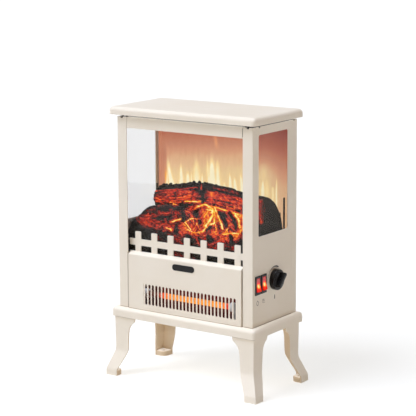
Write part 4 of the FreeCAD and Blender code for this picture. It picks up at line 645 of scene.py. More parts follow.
# cold char and shadow gaps: points, half width, strength
COLD = [
    ([(153, 188.6), (164, 187.0), (188, 186.0), (200, 184.4)], 1.5, 0.97), ([(203.2, 183.5), (203.4, 190), (202.2, 202)], 0.9, 0.9),
    ([(208.7, 189.2), (225, 192.4), (243, 197.1)], 1.0, 0.95), ([(214, 199.5), (243, 206.4)], 0.6, 0.6), ([(195.6, 212.5), (196.6, 215)], 2.7, 0.97),
    ([(199, 220.6), (200.2, 222.4)], 1.5, 0.95), ([(183.6, 214), (183.6, 221)], 1.2, 0.95), ([(219.2, 212.5), (224, 221), (227.5, 226)], 1.6, 0.92),
    ([(229.5, 212.8), (234, 221), (236.6, 228)], 1.9, 0.95), ([(150.5, 212), (166, 208.5), (181, 208)], 2.2, 0.50), ([(152, 219), (170, 216.5)], 1.6, 0.55),
    ([(176, 226), (177, 231)], 1.7, 0.92), ([(210.4, 226), (206.4, 230.4)], 1.1, 0.9), ([(208, 237), (212, 240)], 2.4, 0.9), ([(230.5, 236.5), (231.5, 243)], 2.1, 0.92),
    ([(160, 232), (166, 238)], 2.4, 0.7), ([(187, 236), (191, 241)], 2.2, 0.7), ([(267, 196), (270, 212), (269, 232)], 4.2, 0.98), ([(275, 200), (280, 232)], 6.0, 0.99),
    ([(240.5, 240), (241, 247)], 1.3, 0.85),
]


def heat_of(p, normals, crack, grain):
    """How hot the coals are at points p: 0 black char, 0.5 red, 1 white. crack is 1 in a split, grain 0 to 1 along the fibres."""
    u, v = sheet_uv(p)
    jit = (fbm(p / 5.0, 2, 71) - 0.5) * 2.2
    uu, vv = u + jit, v + (fbm(p / 5.0, 2, 93) - 0.5) * 2.2
    base = np.full(len(p), 0.13)
    for cu, cv, ru, rv, tilt, h in PATCHES:
        d = np.hypot((uu - cu) / ru, (vv - cv - tilt * (uu - cu)) / rv)
        base = np.maximum(base, h * (1 - smooth(0.55, 1.25, d)))
    mott = fbm(p / 7.0, 3, 31)
    blocks = fbm(p / np.array([9.0, 4.5, 4.5]), 2, 55)
    heat = base * (0.62 + 0.50 * grain + 0.55 * (blocks - 0.5) + 0.10 * crack) * (0.66 + 0.72 * mott)
    for pts, w, h in HOT:
        d = near_line(u + 0.55 * jit, v + 0.35 * jit, pts) / (w * 1.12)
        heat = np.maximum(heat, (h + 0.10 * (h > 0.8)) * np.exp(-(d ** 1.5) * 0.80) * (0.80 + 0.40 * mott))
        if h > 0.8:
            heat = np.maximum(heat, 0.74 * h * np.exp(-((d / 2.5) ** 2)) * (0.55 + 0.80 * grain) * (0.75 + 0.50 * mott))
    for pts, w, s in COLD:
        d = near_line(uu, vv, pts) / w
        heat = heat * (1 - s * np.exp(-(d ** 2) * 0.9))
    facing = smooth(-0.15, 0.35, -normals[:, 1] + 0.25 * normals[:, 0] + 0.2 * normals[:, 2])
    low = smooth(226.0, 244.0, p[:, 2])
    bed = 0.36 * np.exp(-((u - 184) / 21.0) ** 2) * (0.8 + 0.4 * mott)
    heat = heat * facing * low + bed * facing * (1 - low)
    return np.clip(heat, 0, 1.12)


# ------------------------------------------------------------------ coals and logs
def char_material():
    """Charred resin: black, ash-grey on the ridges, with splits that glow from dull red to yellow."""
    m = Mat("resin_log")
    heat = m.attr("ember_level")
    g = m.attr("grain", "Vector")
    fibre = m.noise(1.0, 4.0, 0.66, m.mapped(g, scale=(0.06, 0.42, 0.42)))
    fine = m.noise(1.0, 3.0, 0.6, m.mapped(g, scale=(0.45, 0.8, 0.8)))
    edge = m.cell(1.0, "DISTANCE_TO_EDGE", m.mapped(g, scale=(0.085, 0.24, 0.24)))
    split = m.remap(edge, 0.0, 0.12, 1.0, 0.0)
    fleck = m.remap(m.noise(1.0, 3.0, 0.7, m.mapped(g, scale=(0.15, 0.30, 0.30)), 0.6), 0.50, 0.66)
    split = m.math("MAXIMUM", split, m.math("MULTIPLY", fleck, 0.75))
    split = m.math("MULTIPLY", split, m.remap(heat, 0.72, 0.95, 1.0, 0.0))
    level = m.math("ADD", heat, m.math("MULTIPLY", m.math("SUBTRACT", fibre, 0.5), 0.95))
    level = m.math("ADD", level, m.math("MULTIPLY", m.math("SUBTRACT", fine, 0.5), 0.40))
    level = m.math("SUBTRACT", level, m.math("MULTIPLY", split, 0.30))
    gate = m.remap(heat, 0.10, 0.32, 0.0, 1.0)
    level = m.math("MULTIPLY", level, gate, clamp=True)
    glow = m.ramp(level, [(0.0, (0, 0, 0, 1)), (0.16, (0.004, 0.0005, 0.0004, 1)), (0.27, lin(84, 14, 12)), (0.40, lin(172, 30, 20)), (0.53, lin(226, 52, 28)), (0.65, lin(246, 90, 26)),
                          (0.75, lin(253, 140, 24)), (0.84, lin(255, 196, 26)), (0.93, lin(255, 232, 74)), (1.0, lin(255, 250, 176))])
    ash = m.remap(m.noise(1.0, 5.0, 0.65, m.mapped(g, scale=(0.22, 0.6, 0.6))), 0.52, 0.78)
    m.set(Base_Color=m.mix(ash, (0.0115, 0.0100, 0.0096, 1), (0.062, 0.056, 0.052, 1)), Roughness=m.remap(fine, 0.3, 0.7, 0.62, 0.86), Emission_Color=glow)
    m.p.inputs["Emission Strength"].default_value = 1.0
    m.p.inputs["Specular IOR Level"].default_value = 0.25
    m.bump(m.math("SUBTRACT", m.math("ADD", fibre, m.math("MULTIPLY", fine, 0.5)), m.math("MULTIPLY", split, 0.7)), 0.85, 0.0016)
    return m.m


MATERIAL["resin_log"] = char_material()


def spline(points, n):
    """n points along a smooth curve through the given ones."""
    pts = np.asarray(points, float)
    k = len(pts)
    if k == 2:
        t = np.linspace(0, 1, n)[:, None]
        return pts[0] * (1 - t) + pts[1] * t
    t = np.linspace(0, k - 1, n)
    out = []
    for x in t:
        i = min(int(x), k - 2)
        f = x - i
        a, b, c, d = pts[max(i - 1, 0)], pts[i], pts[i + 1], pts[min(i + 2, k - 1)]
        out.append(0.5 * ((2 * b) + (c - a) * f + (2 * a - 5 * b + 4 * c - d) * f * f + (3 * b - a - 3 * c + d) * f ** 3))
    return np.array(out)


def log_piece(name, points, radii, seed, flat=1.0, lobes=0.07, ends=(0.35, 0.35), pitch=1.15, rough=1.0):
    """A split, charred log: a lumpy section swept along points, deep blocky cracks, closed broken ends."""
    length = np.linalg.norm(np.diff(np.asarray(points, float), axis=0), axis=1).sum()
    r_mean = float(np.mean(radii))
    nl, nt = max(12, int(length / pitch)), max(24, int(2 * math.pi * r_mean / pitch))
    mid = spline(points, nl)
    rad = np.interp(np.linspace(0, len(radii) - 1, nl), np.arange(len(radii)), radii)
    tan = np.gradient(mid, axis=0)
    tan /= np.linalg.norm(tan, axis=1)[:, None]
    up = np.array([0, 0, 1.0])
    n1 = up - tan * (tan @ up)[:, None]
    n1 /= np.linalg.norm(n1, axis=1)[:, None]
    n2 = np.cross(tan, n1)
    th = np.linspace(0, 2 * math.pi, nt, endpoint=False)
    run = np.linspace(0, length, nl)
    cap = 9
    rows, along, scale_r = [], [], []
    for k in range(cap, 0, -1):
        rows.append(0)
        along.append(-ends[0] * rad[0] * 0.30 * (1 - ((cap - k) / cap) ** 2))
        scale_r.append(max(0.04, ((cap - k) / cap)) ** 0.62)
    for i in range(nl):
        rows.append(i)
        along.append(0.0)
        scale_r.append(1.0)
    for k in range(1, cap + 1):
        rows.append(nl - 1)
        along.append(ends[1] * rad[-1] * 0.30 * (1 - ((cap - k) / cap) ** 2))
        scale_r.append(max(0.04, ((cap - k) / cap)) ** 0.62)
    rows, along, scale_r = np.array(rows), np.array(along), np.array(scale_r)
    s = run[rows] + along
    S, T = np.meshgrid(s, th, indexing="ij")
    R0 = (rad[rows] * scale_r)[:, None] * np.ones_like(T)
    shape = 1 + lobes * np.cos(3 * T + seed) + 0.6 * lobes * np.cos(5 * T + 2.3 * seed) + 0.5 * lobes * np.cos(2 * T + 0.01 * S)
    cy, cz = np.cos(T), np.sin(T)
    straight = np.stack([S, R0 * cz, R0 * cy], -1).reshape(-1, 3)
    low = fbm(straight / np.array([38.0, 15.0, 15.0]), 3, seed) - 0.5
    rid = np.abs(noise3(straight / np.array([30.0, 3.4, 3.4]), seed + 5) - 0.5) * 2
    _, gap, own = cells(straight / np.array([15.0, 8.0, 8.0]) + 0.25 * low[:, None], seed + 9)
    crack = 1 - smooth(0.0, 0.20, gap)
    fibre = noise3(straight / np.array([22.0, 2.2, 2.2]), seed + 13)
    disp = rough * (4.6 * low + 1.3 * (0.5 - rid) + 1.6 * (own - 0.5) - 1.9 * crack + 0.9 * (fibre - 0.5))
    disp = disp * np.repeat(0.35 + 0.65 * scale_r, nt)
    R = (R0 * shape).reshape(-1) + disp * np.repeat(scale_r > 0.2, nt)
    R = np.maximum(R, 0.3).reshape(len(rows), nt)
    ax = mid[rows] + tan[rows] * along[:, None]
    wob = (fbm(straight / 5.0, 3, seed + 21) - 0.5).reshape(len(rows), nt) * np.where(np.abs(along)[:, None] > 0, 3.4, 0.0)
    V = ax[:, None, :] + n1[rows][:, None, :] * (R * cy)[:, :, None] * flat + n2[rows][:, None, :] * (R * cz)[:, :, None] + tan[rows][:, None, :] * wob[:, :, None]
    verts = V.reshape(-1, 3)
    faces = []
    m = len(rows)
    for i in range(m - 1):
        for j in range(nt):
            k = (j + 1) % nt
            faces.append((i * nt + j, (i + 1) * nt + j, (i + 1) * nt + k, i * nt + k))
    faces.append(tuple(range(nt)))
    faces.append(tuple(reversed(range((m - 1) * nt, m * nt))))
    return name, verts, faces, straight, crack, fibre


def bed_piece(name, seed=5):
    """The moulded ember bed that carries the logs: a bank that rises from the front edge, rolls over and falls to the
    back, with a lumpy, cracked top.
    """
    xs = np.linspace(-133.2, 133.2, 250)
    height = np.interp(xs, [-134, -120, -104, -60, -20, 20, 60, 88, 104, 120, 134], [56, 54, 52, 54, 58, 60, 64, 76, 108, 119, 120])
    ph = np.linspace(0, math.pi, 170)
    c, sn = np.cos(ph), np.sin(ph)
    e = 0.72
    Y = -3.0 - 46.5 * (np.sign(c) * np.abs(c) ** e)[None, :] * np.ones((len(xs), 1))
    Z = 226.0 + height[:, None] * (np.abs(sn) ** e)[None, :]
    # the right end is one big quarter-round: steep at the glass, highest near the front, rolling off to the back
    crown_y, crown_z = -37.0, 0.0
    qc = np.where(ph < 0.55, 0.0, (ph - 0.55) / (math.pi - 0.55)) * math.pi / 2
    front_rise = np.clip(ph / 0.55, 0, 1)
    Yq = np.where(ph < 0.55, -49.5 + (crown_y + 49.5) * front_rise ** 3.0, crown_y + 79.5 * np.sin(qc) ** 1.02)
    Zq = np.where(ph < 0.55, 226.0 + 119.0 * np.sin(front_rise * math.pi / 2) ** 0.9, 226.0 + 119.0 * np.cos(qc) ** 0.62)
    k_end = smooth(92.0, 112.0, xs)[:, None]
    Y = Y * (1 - k_end) + Yq[None, :] * k_end
    Z = Z * (1 - k_end) + Zq[None, :] * k_end
    X = xs[:, None] * np.ones_like(Y)
    P = np.stack([X, Y, Z], -1)
    d1 = np.gradient(P, axis=0)
    d2 = np.gradient(P, axis=1)
    nrm = np.cross(d2, d1)
    nrm /= np.linalg.norm(nrm, axis=2)[:, :, None] + 1e-9
    flatp = P.reshape(-1, 3)
    f1, gap, own = cells(flatp / 13.0, seed)
    f1b, gapb, ownb = cells(flatp / 6.0, seed + 40)
    crack = np.maximum(1 - smooth(0.0, 0.16, gap), 0.75 * (1 - smooth(0.0, 0.15, gapb)))
    fibre = noise3(flatp / 2.6, seed + 3)
    end = smooth(112, 122, flatp[:, 0]) * smooth(-44.0, -36.0, flatp[:, 1])
    disp = (4.4 * (0.55 - f1) + 3.2 * (own - 0.5) + 1.5 * (0.5 - f1b) - 1.4 * crack + 0.8 * (fibre - 0.5)) * (1 - 0.82 * end)
    rim = smooth(0, 6.0, flatp[:, 2] - 226.0)
    flatp = flatp + nrm.reshape(-1, 3) * (disp * rim)[:, None]
    flatp[:, 1] = np.clip(flatp[:, 1], -51.6, 44.0)
    flatp[:, 0] = np.clip(flatp[:, 0], -133.8, 133.8)
    flatp[:, 2] = np.maximum(flatp[:, 2], 225.9)
    nx, nph = len(xs), len(ph)
    faces = []
    for i in range(nx - 1):
        for j in range(nph - 1):
            faces.append((i * nph + j, i * nph + j + 1, (i + 1) * nph + j + 1, (i + 1) * nph + j))
    for i in range(nx - 1):
        faces.append((i * nph, (i + 1) * nph, (i + 1) * nph + nph - 1, i * nph + nph - 1))
    verts = [flatp]
    count = len(flatp)
    grain = [flatp.copy()]
    extra_crack, extra_fibre = [], []
    for side, i in ((0, 0), (1, nx - 1)):
        ring = flatp[i * nph:(i + 1) * nph]
        centre = ring.mean(axis=0)
        prev = list(range(i * nph, (i + 1) * nph))
        sgn = 1.0 if side else -1.0
        for k in range(1, 26):
            f = 1 - k / 26.0
            inner = centre + (ring - centre) * f
            inner[:, 0] = ring[:, 0] + sgn * 0.0
            q = inner.copy()
            b = fbm(q / 9.0, 3, seed + 60) - 0.5
            inner[:, 0] = np.clip(centre[0] + (ring[:, 0] - centre[0]) * f + 2.4 * b * min(1.0, k / 4.0), -134.3, 134.3)
            inner[:, 2] = np.maximum(inner[:, 2], 225.9)
            verts.append(inner)
            grain.append(q)
            extra_crack.append(np.zeros(nph))
            extra_fibre.append(noise3(q / 2.6, seed + 3))
            now = list(range(count, count + nph))
            for j in range(nph):
                l = (j + 1) % nph
                quad = (prev[j], prev[l], now[l], now[j])
                faces.append(quad if side else tuple(reversed(quad)))
            prev = now
            count += nph
        faces.append(tuple(prev) if side else tuple(reversed(prev)))
    return name, np.concatenate(verts), faces, np.concatenate(grain), np.concatenate([crack] + extra_crack), np.concatenate([fibre] + extra_fibre)


def lump(centre, size, seed, sub=3):
    """One loose ember: a rounded block with flats, as (verts, faces)."""
    import bmesh
    bm = bmesh.new()
    bmesh.ops.create_icosphere(bm, subdivisions=sub, radius=1.0)
    v = np.array([x.co[:] for x in bm.verts])
    f = [tuple(x.index for x in face.verts) for face in bm.faces]
    bm.free()
    v = np.sign(v) * np.abs(v) ** 0.8
    v = v * (1 + 0.45 * (fbm(v * 1.6 + seed * 3.7, 3, seed) - 0.5))[:, None]
    ang = seed * 1.7
    rot = np.array([[math.cos(ang), -math.sin(ang), 0], [math.sin(ang), math.cos(ang), 0], [0, 0, 1.0]])
    tilt = np.array([[1, 0, 0], [0, math.cos(ang * 0.7), -math.sin(ang * 0.7)], [0, math.sin(ang * 0.7), math.cos(ang * 0.7)]])
    v = (v * np.array(size)) @ rot.T @ tilt.T + np.array(centre)
    return v, f


COALS = [
    bed_piece("ember_bed"),
    log_piece("back_log_left", [(-106, 15, 309.5), (-64, 14, 314.5), (-12, 8, 320.5)], [24, 25.5, 27.5], 3, ends=(0.05, 0.6), rough=1.15),
    log_piece("back_log_right", [(-10, 6, 320), (45, -2, 317), (92, -8, 311.5), (112, -10, 308)], [27, 26.5, 26, 24], 8, ends=(0.6, 0.3), rough=1.15),
    log_piece("front_log_left", [(-119, -15, 275), (-102, -15, 284), (-78, -15, 286), (-40, -17, 288)], [12.5, 17.5, 19.5, 18.5], 12, ends=(1.0, 0.6)),
    log_piece("split_log_centre", [(-46, -9, 288), (-18, -20, 283), (4, -31, 272)], [17, 18, 15], 17, ends=(0.3, 0.2)),
    log_piece("fan_log_a", [(16, -4, 310), (6, -22, 290), (-4, -39, 264)], [9, 13, 10], 23, ends=(0.4, 0.5), rough=0.7),
    log_piece("fan_log_b", [(15, -8, 312), (28, -24, 290), (40, -40, 264)], [6, 9, 8], 29, ends=(0.4, 0.5), rough=0.7),
    log_piece("fan_log_c", [(16, -8, 311), (56, -22, 298), (98, -34, 276)], [8, 14, 15], 34, ends=(0.4, 0.4), rough=0.8),
    log_piece("fan_log_d", [(60, -30, 296), (84, -38, 272), (96, -42, 256)], [7, 10, 8], 41, ends=(0.4, 0.5), rough=0.7),
]
rng = np.random.RandomState(11)
loose = []
for i in range(54):
    x = -128 + 256 * (i + rng.rand() * 0.8) / 54.0
    z = 236 + 24 * rng.rand() + 6 * (x > 0)
    y = -46.0 + 0.34 * (z - 236) + 1.5 * rng.rand()
    r = 4.2 + 3.4 * rng.rand()
    loose.append(lump((x, y, z), (r * 1.25, min(r, 4.6) * 0.8, r * 0.85), 100 + i))
for i in range(30):
    x = -101 + 205 * (i + 0.8 * rng.rand()) / 30.0
    ridge_y = np.interp(x, [-106, -12, 45, 112], [13, 6, -4, -12])
    ridge_z = np.interp(x, [-106, -64, -12, 0, 45, 92, 112], [332.5, 339.0, 347.0, 346.0, 342.5, 336.5, 331.0])
    r = 2.2 + 2.6 * rng.rand()
    loose.append(lump((x, ridge_y - 2 + 5 * rng.rand(), ridge_z - 0.6), (r * 2.1, r * 0.9, r * 0.75), 200 + i))
loose.append(lump((84, -7, 338.5), (5.5, 4.0, 5.5), 261))
loose.append(lump((-102, 9, 329.5), (6.0, 5.0, 6.0), 262, 4))
loose.append(lump((-95, 11, 333.0), (7.0, 4.0, 4.0), 263, 4))
for x, y, z, r in ((-126, -34, 268, 9), (-117, -30, 276, 9), (-108, -38, 262, 8), (-130, -40, 258, 9), (-96, -40, 258, 8), (-22, -41, 262, 8), (112, -34, 282, 11), (118, -30, 312, 12)):
    loose.append(lump((x, y, z), (r, r * 0.85, r * 0.9), int(400 + x), 4))
lv, lf = joined(loose)
_, lgap, _ = cells(lv / 5.0, 77)
COALS.append(("loose_embers", lv, lf, lv.copy(), 1 - smooth(0.0, 0.16, lgap), noise3(lv / 2.2, 78)))

for name, verts, faces, grain, crack, fibre in COALS:
    verts = np.asarray(verts, float)
    verts[:, 1] = np.clip(verts[:, 1], -52.2, 52.6)
    verts[:, 0] = np.clip(verts[:, 0], -134.4, 134.4)
    verts[:, 2] = np.maximum(verts[:, 2], 225.85)
    o = make(name, verts, faces)
    point_attr(o, "ember_level", heat_of(verts, vertex_normals(o), crack, fibre))
    point_attr(o, "grain", grain, "FLOAT_VECTOR")
    o.data.materials.append(MATERIAL["resin_log"])
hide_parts("log_set")


# ------------------------------------------------------------------ flame picture on the acrylic screen
# tones of the lit screen, from the dim top to the pale flame cores
TONES = [(143, 68, 60), (158, 82, 68), (169, 93, 73), (180, 104, 83), (189, 119, 91), (195, 130, 103), (207, 144, 113), (215, 157, 122), (223, 176, 136), (229, 187, 144),
         (236, 204, 153), (246, 214, 158), (252, 225, 165), (253, 234, 181), (255, 245, 210)]
# tongues: foot u, tip u, tip v, half width at the foot, lift in tones, height of the bright core above v=190, core lift
TONGUES = [
    (166.3, 166.4, 168.0, 1.5, 4.6, 14, 3.0), (173.2, 167.6, 156.0, 2.3, 4.2, 11, 4.5), (181.2, 180.8, 160.5, 1.7, 5.0, 20, 3.2), (188.6, 187.4, 169.0, 2.0, 4.6, 12, 2.5),
    (197.0, 196.0, 152.5, 3.6, 2.8, 6, 1.0), (192.4, 191.0, 168.0, 1.3, 2.6, 8, 1.0), (202.4, 202.0, 171.0, 1.2, 3.8, 12, 2.0), (210.5, 206.5, 151.0, 2.0, 2.6, 10, 1.5),
    (212.8, 211.5, 150.5, 3.3, 4.2, 25, 1.8), (218.4, 217.0, 154.0, 2.6, 3.2, 8, 0.8), (230.6, 229.8, 171.0, 1.6, 3.8, 10, 2.5), (235.6, 234.6, 176.0, 1.5, 3.4, 10, 2.0),
    (241.6, 241.0, 171.0, 1.3, 3.2, 8, 1.5), (224.5, 224.0, 181.0, 1.3, 2.2, 5, 0.8), (262.8, 262.6, 180.0, 1.9, 2.6, 10, 2.6), (276.4, 276.5, 176.0, 1.1, 3.0, 4, 1.8),
    (272.8, 272.6, 186.0, 1.3, 2.0, 2, 1.0), (267.0, 267.0, 176.0, 2.2, 1.2, 2, 0.5),
    (150.0, 150.5, 172.0, 2.0, 2.5, 8, 1.5), (249.0, 248.5, 170.0, 1.8, 3.0, 8, 1.5), (255.0, 254.6, 176.0, 1.6, 2.6, 8, 1.5),
]


def flame_picture(p):
    u, v = sheet_uv(p)
    front = np.interp(v, [122, 134, 140, 146, 152, 158, 164, 170, 176, 182, 190], [1.7, 3.3, 4.5, 5.6, 6.9, 8.0, 9.0, 9.8, 10.3, 10.7, 11.0])
    near_side = np.interp(v, [122, 135, 142, 149, 156, 163, 170, 177, 184, 191], [0.2, 1.0, 2.0, 3.3, 5.2, 6.9, 8.7, 9.8, 10.3, 10.6])
    far_side = np.interp(v, [122, 135, 142, 149, 156, 163, 170, 177, 184, 195], [0.0, 0.1, 1.0, 2.1, 3.2, 4.6, 5.7, 6.7, 7.6, 8.4])
    k = smooth(243, 260, u)
    q = smooth(264, 284, u)
    t = front * (1 - k) + (near_side * (1 - q) + far_side * q) * k
    t = np.where(u < 167.2, np.minimum(t, 5.7) * smooth(165.2, 167.4, u) * 0 + np.minimum(t, 5.0 + 0.9 * smooth(150, 175, v)) * (1 - smooth(165.6, 167.6, u)) + t * smooth(165.6, 167.6, u), t)
    wob = (fbm(np.stack([u / 5.0, v / 16.0, 0 * u], -1), 3, 7) - 0.5)
    orange = np.zeros_like(t)
    lift = np.zeros_like(t)
    for foot, tip, top, w, gain, core, core_gain in TONGUES:
        f = np.clip((v - top) / (190.0 - top), 0, 1.3)
        centre = tip + (foot - tip) * f ** 1.4 + wob * 2.4 * (1 - f * 0.5)
        width = w * (0.30 + 0.85 * np.clip(f, 0, 1) ** 0.8)
        body = np.exp(-np.abs((u - centre) / width) ** 2.2) * smooth(0.0, 0.45, f)
        lift = np.maximum(lift, gain * body) + 0.18 * gain * body
        c = np.exp(-np.abs((u - centre) / (width * 0.55)) ** 2) * smooth(190 - core - 5, 190 - core + 3, v)
        lift = lift + core_gain * c
        edge = np.exp(-np.abs((u - centre) / (width * 1.25)) ** 2) * smooth(0.0, 0.35, f) - body
        orange = orange + np.clip(edge, 0, 1) * 0.6 + 0.10 * body
    lift = np.maximum(lift, 3.4 * np.exp(-(((u - 212.2) / 2.6) ** 2 + ((v - 164.5) / 7.0) ** 2)))
    lift = np.maximum(lift, 1.3 * np.exp(-(((u - 264.0) / 4.0) ** 2 + ((v - 172.0) / 8.0) ** 2)))
    streak = np.exp(-((u - 215.2 - (v - 137) * 0.16) / 1.7) ** 2) * smooth(130, 135, v) * (1 - smooth(141, 152, v))
    amber = np.exp(-(((u - 165.9) / 1.0) ** 2 + ((v - 176.0) / 6.0) ** 2))
    t = t + lift + (fbm(np.stack([u / 1.6, v / 7.0, 0 * u], -1), 2, 19) - 0.5) * 0.7 + streak * 2.4
    t = np.clip(t, 0, len(TONES) - 1.001)
    tones = np.array([lin(*c)[:3] for c in TONES])
    i = t.astype(int)
    f = (t - i)[:, None]
    rgb = tones[i] * (1 - f) + tones[i + 1] * f
    o = np.clip(orange * 0.5 + streak * 0.75 + amber * 0.9, 0, 0.9)[:, None]
    rgb = rgb * (1 - o) + rgb * np.array([1.10, 0.86, 0.62]) * o
    rgb = rgb * (1 - 0.8 * amber[:, None]) + np.array(lin(255, 178, 62)[:3]) * 0.8 * amber[:, None]
    return np.clip(rgb, 0, 1)


s_lo, s_hi = box_mm("flame_screen")
fx = np.linspace(s_lo[0] + 0.4, s_hi[0] - 0.4, 330)
fz = np.linspace(max(s_lo[2] + 60.0, 286.0), s_hi[2] - 0.8, 200)
fz = np.concatenate([np.linspace(s_lo[2] + 0.6, fz[0] - 3.0, 12), fz])
GX, GZ = np.meshgrid(fx, fz, indexing="ij")
y_face = s_lo[1] - 0.25
ripple = 0.05 * np.sin(GX / 3.1) * np.sin(GZ / 4.3)
front_face = np.stack([GX, np.full_like(GX, y_face) + ripple, GZ], -1).reshape(-1, 3)
back_face = front_face.copy()
back_face[:, 1] = s_lo[1] - 0.04
nz = len(fz)
ff = []
for i in range(len(fx) - 1):
    for j in range(nz - 1):
        ff.append((i * nz + j, (i + 1) * nz + j, (i + 1) * nz + j + 1, i * nz + j + 1))
base_n = len(front_face)
loop = [i * nz for i in range(len(fx))] + [(len(fx) - 1) * nz + j for j in range(1, nz)] + [i * nz + nz - 1 for i in range(len(fx) - 2, -1, -1)] + [j for j in range(nz - 2, 0, -1)]
corner_pts = np.array([back_face[i] for i in loop])
for a in range(len(loop)):
    b = (a + 1) % len(loop)
    ff.append((loop[b], loop[a], base_n + a, base_n + b))
ff.append(tuple(base_n + a for a in range(len(loop))))
film = make("flame_film", np.concatenate([front_face, corner_pts]), ff)
rgb = flame_picture(np.concatenate([front_face, corner_pts]))
point_attr(film, "film_tone", np.concatenate([rgb, np.ones((len(rgb), 1))], 1), "FLOAT_COLOR")


def wing(x0, x1):
    """A side wing of the film, folded forward along the side wall, as (verts, faces)."""
    ys = np.linspace(49.4, y_face - 0.3, 10)
    zs = np.linspace(s_lo[2] + 0.6, s_hi[2] - 0.8, 150)
    inner = np.array([(x1, y, z) for y in ys for z in zs])
    outer = np.array([(x0, y, z) for y in ys for z in zs])
    ny, nzz = len(ys), len(zs)
    f = [(i * nzz + j, (i + 1) * nzz + j, (i + 1) * nzz + j + 1, i * nzz + j + 1) for i in range(ny - 1) for j in range(nzz - 1)]
    n = len(inner)
    f += [tuple(reversed([q + n for q in quad])) for quad in f]
    rim = [i * nzz for i in range(ny)] + [(ny - 1) * nzz + j for j in range(1, nzz)] + [i * nzz + nzz - 1 for i in range(ny - 2, -1, -1)] + [j for j in range(nzz - 2, 0, -1)]
    for a in range(len(rim)):
        b = rim[(a + 1) % len(rim)]
        f.append((b, rim[a], rim[a] + n, b + n))
    return np.concatenate([inner, outer]), f


wing_tones = np.array([lin(*c)[:3] for c in TONES])
wings = []
for name, x0, x1 in (("film_wing_left", -137.3, -136.8), ("film_wing_right", 137.3, 136.8)):
    wv, wf = wing(x0, x1)
    w = make(name, wv, wf, False)
    lvl = np.interp(wv[:, 2], [300, 400, 455], [5.6, 5.0, 2.4]) + 0.5 * (fbm(wv / 12.0, 2, 5) - 0.5) - 1.2 * (1 - smooth(49.4, 51.4, wv[:, 1]))
    ii = np.clip(lvl, 0, 12).astype(int)
    ff_ = (lvl - ii)[:, None]
    wc = wing_tones[ii] * (1 - ff_) + wing_tones[ii + 1] * ff_
    point_attr(w, "film_tone", np.concatenate([np.clip(wc, 0, 1), np.ones((len(wc), 1))], 1), "FLOAT_COLOR")
    wings.append(w)


def film_material():
    m = Mat("flame_film")
    col = m.attr("film_tone", "Color")
    wisp = m.noise(1.0, 4.0, 0.6, m.mapped(scale=(420.0, 1.0, 60.0)), 0.3)
    up = m.mix(m.remap(wisp, 0.35, 0.70), (0.97, 0.96, 0.95, 1), (1.03, 1.03, 1.02, 1))
    glow = m.mix(1.0, col, up, "MULTIPLY")
    m.set(Base_Color=m.mix(0.85, col, (0.02, 0.015, 0.01, 1)), Roughness=m.remap(m.noise(300.0), 0.3, 0.7, 0.45, 0.6), Emission_Color=glow)
    m.p.inputs["Emission Strength"].default_value = 0.97
    m.p.inputs["Specular IOR Level"].default_value = 0.2
    return m.m


FILM = film_material()
for o in [film] + wings:
    o.data.materials.append(FILM)


# ------------------------------------------------------------------ heating coil
c_lo, c_hi = box_mm("heating_coil")
cy0, cz0 = (c_lo[1] + c_hi[1]) / 2, (c_lo[2] + c_hi[2]) / 2
turn_r = (c_hi[2] - c_lo[2]) / 2 - 0.45
turns, per = 74, 14
k = np.arange(turns * per + 1)
x0, x1 = c_lo[0] + 0.5, c_hi[0] - 0.5
a = k / per * 2 * math.pi
pitch_wave = 0.25 * np.sin(k / per * 0.37)
path = np.stack([np.interp(k + pitch_wave * per, [0, k[-1]], [x0 + 4, x1 - 4]), cy0 + turn_r * np.cos(a), cz0 + turn_r * np.sin(a)], -1)
path = np.concatenate([[[x0, cy0, cz0], [x0 + 2.4, cy0 + 0.4, cz0], [x0 + 3.6, cy0 + turn_r * 0.7, cz0]], path, [[x1 - 3.6, cy0 + turn_r * 0.7, cz0], [x1 - 2.4, cy0 + 0.4, cz0], [x1, cy0, cz0]]])
cv, cf = tube(path, 0.42, 6)
coil = make("resistance_coil", cv, cf)
coil.data.materials.append(MATERIAL["heating_wire"])
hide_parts("heating_coil")


# ------------------------------------------------------------------ printed marks on the right panel
def ribbon(points, widths, plane_x, thick=0.10):
    """A flat printed line in the (y, z) plane, with flat ends, as (verts, faces)."""
    pts = np.asarray(points, float)
    w = np.broadcast_to(np.asarray(widths, float), (len(pts),)) if np.ndim(widths) == 0 else np.asarray(widths, float)
    tan = np.gradient(pts, axis=0)
    tan /= np.linalg.norm(tan, axis=1)[:, None] + 1e-9
    nor = np.stack([-tan[:, 1], tan[:, 0]], -1)
    left, right = pts + nor * w[:, None] / 2, pts - nor * w[:, None] / 2
    n = len(pts)
    v = []
    for x in (plane_x - 0.02, plane_x + thick):
        v += [(x, q[0], q[1]) for q in left] + [(x, q[0], q[1]) for q in right]
    f = []
    for i in range(n - 1):
        f.append((2 * n + i, 2 * n + i + 1, 3 * n + i + 1, 3 * n + i))
        f.append((i, n + i, n + i + 1, i + 1))
        f.append((i, i + 1, 2 * n + i + 1, 2 * n + i))
        f.append((n + i + 1, n + i, 3 * n + i, 3 * n + i + 1))
    f.append((0, 2 * n, 3 * n, n))
    f.append((n - 1, 2 * n - 1, 4 * n - 1, 3 * n - 1))
    return np.array(v), f


